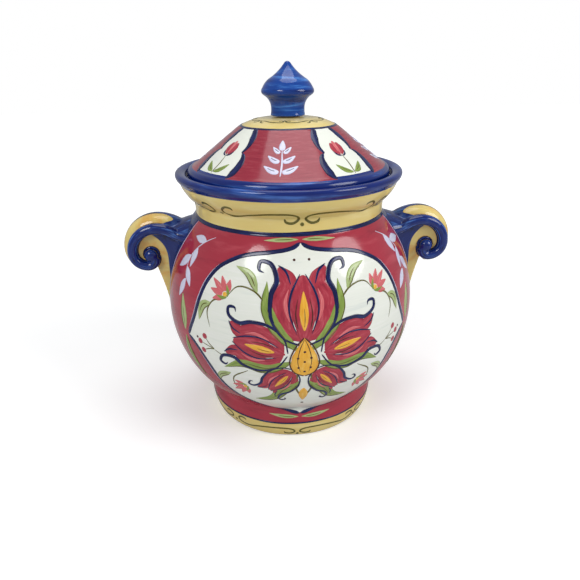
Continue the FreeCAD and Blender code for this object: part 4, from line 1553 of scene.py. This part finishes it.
class JAR_OT_frames(bpy.types.Operator):
    """Lays the cream reserves with their four-cusped frames, front and back"""
    bl_idname = "jar.frames"
    bl_label = "Cartouches"

    def execute(self, context):
        brush = context.scene.jar_brush
        skin = pot_skin()
        work = Brushwork(skin)
        for turn in (brush.frame_turn, brush.frame_turn + math.pi):
            upper, lower = frame_edge(skin, FRAME_UPPER), frame_edge(skin, FRAME_LOWER)
            self.reserve(work, turn, upper, lower)
            for flip in (-1, 1):
                for edge in (upper, lower):
                    path = edge * (flip, 1.0) + (turn, 0.0)
                    work.stroke("navy", path, brush.frame_line, "even", layer=0.20, crown=0.10,
                                tone=0.2 + 0.3 * flip)
                    beside = path + (flip * 0.020, 0.0)
                    work.stroke("lilac", beside[6:-6], 0.9, "brush", layer=0.10, crown=0.05)
        work.hand_over("frame", "pot", "pot_glaze")
        return {"FINISHED"}

    @staticmethod
    def reserve(work, turn, upper, lower):
        limit = np.vstack((lower[::-1], upper[::-1]))
        order = np.argsort(limit[:, 1])
        limit = limit[order]
        length = np.linspace(limit[0, 1] + 0.2, limit[-1, 1] - 0.2, 170)
        half = np.interp(length, limit[:, 1], limit[:, 0])
        across = np.concatenate(([-1.0], np.linspace(-0.995, 0.995, 90), [1.0]))
        work.field("cream", turn + half[:, None] * across, length, across, 0.08,
                   across * 0.6, length[:, None] * 3.0, 0.5)


def tulip(bloom):
    """A cup of three crimson petals with navy outlines and a gold flame."""
    for tone, side in zip((0.1, 0.5), bloom.pair()):
        side.stroke("crimson", [(1.0, 1), (9.0, 9), (11.0, 22), (7.5, 33), (12.5, 41)], 12.5,
                    "petal", layer=0.12, crown=0.12, tone=tone)
        side.stroke("coral", [(7.5, 12), (9.6, 22), (7.4, 30)], 2.6, "leaf", layer=0.24)
    bloom.stroke("crimson", [(0, 0), (0, 18), (0, 37)], 15.0, "petal", layer=0.20, crown=0.12,
                 tone=0.7)
    for side in bloom.pair():
        side.stroke("navy", [(0.5, -1.5), (11.0, 3.5), (17.2, 14), (16.8, 26), (13.4, 34),
                             (15.6, 42), (21.0, 43.5), (22.4, 39.2), (19.4, 37.6)], 3.0,
                    "swell", layer=0.26, crown=0.12)
        side.stroke("navy", [(1.2, 37.5), (6.4, 27), (7.6, 17), (3.8, 5)], 1.3, "brush",
                    layer=0.30, crown=0.06)
        side.stroke("navy", [(12.4, 42.0), (8.4, 38.5), (6.2, 31.5)], 1.4, "brush",
                    layer=0.28, crown=0.06)
    bloom.stroke("gold", [(0, 7), (0, 17), (0, 29)], 5.4, "leaf", layer=0.30, crown=0.12)
    bloom.stroke("umber", [(0, 9), (0.3, 15), (0, 22)], 0.9, "brush", layer=0.38, crown=0.04)
    for side in bloom.pair():
        side.stroke("umber", [(3.2, 8), (4.4, 16), (3.0, 25)], 0.7, "brush", layer=0.34,
                    crown=0.04)


def leafing(motif, points, width, glaze="leaf", vein="olive"):
    """One long leaf with its mid vein and a drawn edge."""
    motif.stroke(glaze, points, width, "leaf", layer=0.14, crown=0.14)
    middle, _ = smooth_path(points, 1.0)
    trimmed = middle[len(middle) // 6: -len(middle) // 4]
    motif.stroke(vein, trimmed[:: max(1, len(trimmed) // 5)], 0.9, "brush", layer=0.30,
                 crown=0.05)
    away = np.gradient(middle, axis=0)
    away /= np.maximum(np.hypot(away[:, 0], away[:, 1]), 1e-9)[:, None]
    side = np.column_stack((away[:, 1], -away[:, 0]))
    half = shape_width("leaf", np.linspace(0, 1, len(middle))) * width / 2
    edge = middle + side * (half * 0.94)[:, None]
    motif.stroke(vein, edge[2:-2: max(1, len(edge) // 8)], 0.8, "brush", layer=0.28, crown=0.05)


def fan_flower(cup):
    """A coral half flower of five dabs over a green cup."""
    for number, lean in enumerate((-62, -32, 0, 32, 62)):
        petal = cup.inner((0, 0), math.radians(lean))
        petal.stroke("coral", [(0, 3.0), (0, 9), (0, 15.5 - abs(number - 2) * 1.3)], 5.2,
                     "drop", layer=0.14 + 0.02 * (number % 2), crown=0.10, tone=0.2 * number)
    for side in cup.pair():
        side.stroke("leaf", [(0, -1), (3.6, 1.6), (6.4, 5.6)], 2.6, "leaf", layer=0.2)
    cup.dot("gold", (0, 1.6), 1.9, layer=0.24)


def berry_spray(spray):
    """Three crimson berries on fine stems."""
    for x, y in ((-5.5, 9.0), (0.0, 12.5), (5.5, 9.0)):
        spray.stroke("olive", [(0, 0), (x * 0.35, y * 0.5), (x, y)], 0.8, "brush")
        spray.dot("crimson", (x, y), 2.1)


class JAR_OT_bouquets(bpy.types.Operator):
    """Paints the tulip bouquet inside each reserve"""
    bl_idname = "jar.bouquets"
    bl_label = "Bouquets"

    def execute(self, context):
        brush = context.scene.jar_brush
        skin = pot_skin()
        work = Brushwork(skin)
        for turn in (brush.frame_turn, brush.frame_turn + math.pi):
            self.bouquet(Motif(work, turn, skin.at_level(brush.bouquet_level)))
        work.hand_over("bouquet", "pot", "pot_glaze")
        return {"FINISHED"}

    @staticmethod
    def bouquet(whole):
        for side in whole.pair():
            side.stroke("olive", [(0, -46), (6, -30), (4, -12), (6, 0)], 1.6, "even", layer=0.12)
            leafing(side, [(4, 2), (16, 16), (25, 33), (24, 52)], 11.0)
            leafing(side, [(8, -6), (26, -12), (44, -10), (60, -18)], 10.0)
            leafing(side, [(2, -24), (14, -34), (22, -46), (36, -52)], 10.0)
            side.stroke("olive", [(24, 34), (33, 44), (45, 46), (55, 37)], 1.4, "brush",
                        layer=0.12)
            side.stroke("olive", [(56, 36), (66, 33), (72, 24), (70, 12)], 1.3, "brush",
                        layer=0.12)
            leafing(side, [(31, 43), (36, 55), (46, 60)], 6.5, "pale_leaf")
            leafing(side, [(68, 31), (77, 27), (81, 15)], 6.5, "pale_leaf")
            fan_flower(side.inner((54.5, 38), math.radians(44)))
            side.stroke("olive", [(40, -16), (52, -26), (50, -38), (40, -42)], 1.2, "brush",
                        layer=0.12)
            fan_flower(side.inner((42, -34), math.radians(128), 0.85))
            leafing(side, [(54, -22), (64, -28), (66, -38)], 5.5, "pale_leaf")
            tulip(side.inner((13, 0), math.radians(78), 1.05))
            tulip(side.inner((8, -14), math.radians(142), 0.74))
            side.dot("umber", (84, 1), 1.1)
            side.dot("umber", (5, 66), 1.0)
            side.stroke("olive", [(50, -6), (60, -7), (68, -4)], 1.1, "brush", layer=0.12)
            berry_spray(side.inner((67, -4), math.radians(80), 1.15))
        tulip(whole.inner((0, 8), 0.0, 1.30))
        whole.stroke("gold", [(0, -19), (0, -4), (0, 13)], 21.0, "drop", layer=0.32, crown=0.14)
        for side in whole.pair():
            side.stroke("umber", [(0, 13), (6.6, 5), (10.4, -6), (7.4, -15), (0, -19)], 1.0,
                        "even", layer=0.42, crown=0.05)
            side.stroke("umber", [(0, 12), (3.2, 4), (4.8, -6), (2.6, -16)], 0.7, "brush",
                        layer=0.44, crown=0.03)
        for x, y in ((0, 2), (-4.6, -3), (4.6, -3), (0, -6), (-4.2, -11), (4.2, -11), (0, -14.5)):
            whole.dot("umber", (x, y), 1.0, layer=0.44, crown=0.05)
        whole.stroke("gold", [(0, -32), (0, -40), (0, -50)], 7.5, "leaf", layer=0.2, crown=0.12)
        whole.dot("umber", (0, -55), 1.2)


def flat_leaf(length, width):
    """A single flat leaf with lift in z, for the stem tree to set."""
    count = 26
    ways = np.linspace(0, 1, count)
    half = shape_width("leaf", ways) * width / 2
    y = half[:, None] * -ACROSS
    x = np.broadcast_to(ways[:, None] * length, y.shape)
    lift = np.where(np.abs(ACROSS) > 0.95, SUNK, 0.12 + 0.10 * (1 - ACROSS ** 2))
    z = np.broadcast_to(lift, y.shape).copy()
    z[0], z[-1] = SUNK, SUNK
    verts = np.column_stack((x.ravel(), y.ravel(), z.ravel()))
    index = np.arange(count * 7).reshape(count, 7)
    quads = np.stack((index[:-1, :-1], index[1:, :-1], index[1:, 1:], index[:-1, 1:]), -1)
    thing = new_mesh_object("flat_leaf", verts, quads.reshape(-1, 4)[:, ::-1])
    places = np.column_stack((np.broadcast_to(ACROSS, y.shape).ravel(), x.ravel()))
    map_strokes(thing.data, places)
    return thing


def leafy_stem(name, skin, turn, length, path, count, leaf, glaze, seed):
    """Leaves grown along a flat stem by the tree, then laid on the skin."""
    flat = smooth_path(path, 1.0)[0][9:]
    mesh = bpy.data.meshes.new(name)
    mesh.from_pydata([(x, y, 0.0) for x, y in flat], [(k, k + 1) for k in range(len(flat) - 1)], [])
    thing = shown(name, mesh)
    grow(thing, leaves_on_stem(), Leaf=leaf, Count=count, Spread=0.62, Seed=seed,
         Glaze=GLAZES[glaze])
    points = points_of(thing.data)
    reach = length + points[:, 1]
    angle = turn + points[:, 0] / skin.radius(reach)
    move_points(thing.data, skin.place(angle, reach, points[:, 2]))
    return thing


class JAR_OT_sprigs(bpy.types.Operator):
    """Paints the leafy sprigs on the crimson beside the handles and at the cusps"""
    bl_idname = "jar.sprigs"
    bl_label = "Sprigs"

    def execute(self, context):
        skin = pot_skin()
        turn = context.scene.jar_brush.frame_turn
        work = Brushwork(skin)
        leaf = flat_leaf(17.5, 7.4)
        grown = []
        for quarter, flip in ((1, 1), (1, -1), (-1, 1), (-1, -1)):
            middle = turn + quarter * math.radians(90)
            spot = middle - flip * math.radians(31)
            path = [(flip * x, y) for x, y in ((-17, 25), (-7, 18), (1, 8), (3, -2), (1, -11))]
            level = skin.at_level(145.0)
            grown.append(leafy_stem("sprig", skin, spot, level, path, 5, leaf, "lilac",
                                    11 + quarter * 2 + flip))
            Motif(work, spot, level).stroke("lilac", path, 0.9, "brush", layer=0.08, crown=0.06)
        bpy.data.objects.remove(leaf)
        sprigs = join("lilac_sprigs", grown)
        sprigs.data.materials.clear()
        sprigs.data.materials.append(GLAZES["lilac"])
        sprigs.data.polygons.foreach_set("use_smooth", [True] * len(sprigs.data.polygons))
        hand_over(sprigs, "pot")
        for half in (0.0, math.pi):
            self.cusp_leaves(work, skin, turn + half)
            for flip in (-1, 1):
                self.side_leaves(work, skin, turn + half + flip * math.radians(56), flip)
        work.hand_over("sprigs", "pot", "pot_glaze")
        return {"FINISHED"}

    @staticmethod
    def cusp_leaves(work, skin, turn):
        """Leaf pairs over the top cusp and under the bottom one."""
        for level, rise in ((169.6, -0.6), (21.0, 1.2)):
            for flip in (-1, 1):
                motif = Motif(work, turn, skin.at_level(level), flip=flip)
                motif.stroke("pale_leaf", [(1, 0), (12, rise * 0.3), (25, rise * 1.6)], 3.6,
                             "leaf", layer=0.12)
                motif.stroke("olive", [(4, 0), (12, rise * 0.3), (18, rise)], 0.8, "brush",
                             layer=0.22, crown=0.04)

    @staticmethod
    def side_leaves(work, skin, turn, flip):
        """The tall pair beside each side cusp."""
        motif = Motif(work, turn, skin.at_level(94.0), flip=flip)
        leafing(motif, [(2.0, 2), (3.2, 14), (6.5, 30)], 8.0, "pale_leaf")
        leafing(motif, [(2.0, -2), (1.5, -18), (-7.0, -40)], 8.0, "leaf")


class JAR_OT_roots(bpy.types.Operator):
    """Paints the cobalt root of each handle down the belly, with its lilac edge"""
    bl_idname = "jar.roots"
    bl_label = "Handle roots"

    def execute(self, context):
        skin = pot_skin()
        work = Brushwork(skin)
        levels = np.linspace(96.5, 173.0, 90)
        half = np.interp(levels, (96.5, 98.5, 102, 120, 138, 150, 160, 173),
                         (0.5, 8.0, 13.2, 16.0, 19.0, 22.5, 25.0, 26.0))
        for _ in range(4):
            half[1:-1] = half[1:-1] * 0.5 + (half[:-2] + half[2:]) * 0.25
        length = np.array([skin.at_level(z) for z in levels])
        radius = skin.radius(length)
        across = np.concatenate(([-1.0], np.linspace(-0.99, 0.99, 28), [1.0]))
        for turn in (math.pi / 2, -math.pi / 2):
            work.field("cobalt", turn + np.outer(half / radius, across), length, across, 0.16,
                       across * 2.8, length[:, None] * 2.0, 0.4)
            for flip in (-1, 1):
                path = np.column_stack((turn + flip * (half + 0.8) / radius, length))
                work.stroke("lilac", path[3:], 1.1, "brush", layer=0.12, crown=0.06)
        work.hand_over("root", "pot", "pot_glaze")
        return {"FINISHED"}


class JAR_OT_lid_panels(bpy.types.Operator):
    """Paints the lid's crimson and cream panels with their small motifs"""
    bl_idname = "jar.lid_panels"
    bl_label = "Lid panels"

    def execute(self, context):
        brush = context.scene.jar_brush
        cap = lid_skin()
        fill, divider, sprig, bud = (Brushwork(cap) for _ in range(4))
        turn = brush.panel_turn
        self.crimson_panel(fill, turn)
        for flip in (-1, 1):
            self.divider(divider, turn, flip)
        self.palmette(Motif(sprig, turn, cap.at_radius(58.0)))
        self.small_bud(Motif(bud, turn + math.pi / brush.panel_count, cap.at_radius(60.0)))
        for name, work in (("panel", fill), ("divider", divider), ("palmette", sprig),
                           ("bud", bud)):
            for thing in work.objects(name):
                grow(thing, ring_of_motifs(), Count=brush.panel_count, Sway=0.0, Seed=2,
                     Glaze=thing.data.materials[0])
                hand_over(thing, "lid")
        return {"FINISHED"}

    @staticmethod
    def edge(skin):
        """The panel's bracket edge as half angles against lengths, from base to crown."""
        rows = ((73.2, 31.0), (69.0, 28.9), (63.0, 27.3), (58.0, 27.6), (55.2, 29.6),
                (54.6, 31.4), (50.0, 29.2), (45.5, 29.0), (40.5, 30.6), (35.8, 34.0))
        length = np.array([skin.at_radius(r) for r, _ in rows])
        angle = np.radians([a for _, a in rows])
        return length, angle

    def crimson_panel(self, work, turn):
        length, angle = self.edge(work.skin)
        rows = np.linspace(length[0] - 0.8, length[-1] + 0.4, 60)
        half = np.interp(rows, length, angle)
        across = np.concatenate(([-1.0], np.linspace(-0.99, 0.99, 40), [1.0]))
        grid = turn + half[:, None] * across
        work.field("crimson", grid, rows, across, 0.10, rows[:, None] * 0.3, grid * 60.0, 0.8)

    def divider(self, work, turn, flip):
        """Two swelling strokes that meet in a small cusp, like a bracket."""
        length, angle = self.edge(work.skin)
        for part, shape in ((slice(0, 6), "brush"), (slice(5, 10), "swell")):
            flat = np.column_stack((angle[part] * 55.0, length[part]))
            path, _ = smooth_path(flat, 0.7)
            path = np.column_stack((turn + flip * path[:, 0] / 55.0, path[:, 1]))
            work.stroke("navy", path, 6.4 if part.start == 0 else 5.8, shape, layer=0.18,
                        crown=0.12)

    @staticmethod
    def palmette(motif):
        """A white palmette: a stem, three pairs of leaves and a drop on top."""
        motif.stroke("lilac", [(0, -15), (0.6, -4), (0, 10)], 1.5, "brush", layer=0.14)
        motif.stroke("lilac", [(0, 8), (0, 12), (0, 18)], 5.0, "drop", layer=0.16)
        for y, reach, size in ((-11, 12.0, 5.2), (-2, 9.6, 4.8), (6, 6.4, 3.8)):
            for side in motif.inner((0, y)).pair():
                side.stroke("lilac", [(0.8, 0), (reach * 0.5, 1.6), (reach, 6.0)], size, "drop",
                            layer=0.16, tone=0.2 + 0.03 * reach)
                side.stroke("navy", [(reach * 0.25, 1.2), (reach * 0.5, 2.0),
                                     (reach * 0.8, 4.2)], 0.7, "brush", layer=0.26, crown=0.04)

    @staticmethod
    def small_bud(motif):
        """A crimson bud on a short stem over two green leaves."""
        motif.stroke("olive", [(0, -14), (0.8, -4), (0, 5)], 0.9, "brush", layer=0.12)
        for side in motif.pair():
            side.stroke("leaf", [(0.4, -12), (6, -9.5), (11, -3.5)], 4.6, "leaf", layer=0.14)
            side.stroke("olive", [(2.4, -11.2), (6, -9.2), (9, -6)], 0.7, "brush", layer=0.24,
                        crown=0.04)
            side.stroke("crimson", [(0.4, 4), (3.4, 9), (2.4, 16)], 4.4, "petal", layer=0.14)
            side.stroke("navy", [(0.2, 3), (3.6, 4.6), (5.2, 8)], 1.3, "brush", layer=0.22)
        motif.stroke("coral", [(0, 5), (0, 10), (0, 17.5)], 3.6, "petal", layer=0.22)


class JAR_PT_panel(bpy.types.Panel):
    """Lists the jar's pieces in the sidebar"""
    bl_idname = "JAR_PT_panel"
    bl_label = "Biscuit Jar"
    bl_space_type = "VIEW_3D"
    bl_region_type = "UI"
    bl_category = "Biscuit Jar"

    def draw(self, context):
        column = self.layout.column(align=True)
        for operator in PIECES + (JAR_OT_stage,):
            column.operator(operator.bl_idname)
        for group in GROUPS:
            settings = getattr(context.scene, group)
            for key in settings.__annotations__:
                self.layout.prop(settings, key)


PIECES = (JAR_OT_pot, JAR_OT_handles, JAR_OT_lid, JAR_OT_knob, JAR_OT_seal, JAR_OT_roots,
          JAR_OT_borders, JAR_OT_frames, JAR_OT_bouquets, JAR_OT_sprigs, JAR_OT_lid_panels)
GROUPS = {"jar_sizes": JarSizes, "jar_handles": HandleSizes, "jar_brush": BrushSizes,
          "jar_colours": JarColours, "jar_stage": StageSettings}
CLASSES = tuple(GROUPS.values()) + PIECES + (JAR_OT_stage, JAR_PT_panel)


def register():
    for item in CLASSES:
        bpy.utils.register_class(item)
    for name, group in GROUPS.items():
        setattr(bpy.types.Scene, name, PointerProperty(type=group))


def unregister():
    for name in GROUPS:
        delattr(bpy.types.Scene, name)
    for item in reversed(CLASSES):
        bpy.utils.unregister_class(item)


def main():
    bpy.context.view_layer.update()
    register()
    mix_glazes()
    bpy.ops.jar.stage()
    for piece in PIECES:
        group, _, name = piece.bl_idname.partition(".")
        getattr(getattr(bpy.ops, group), name)()


if __name__ == "__main__":
    main()
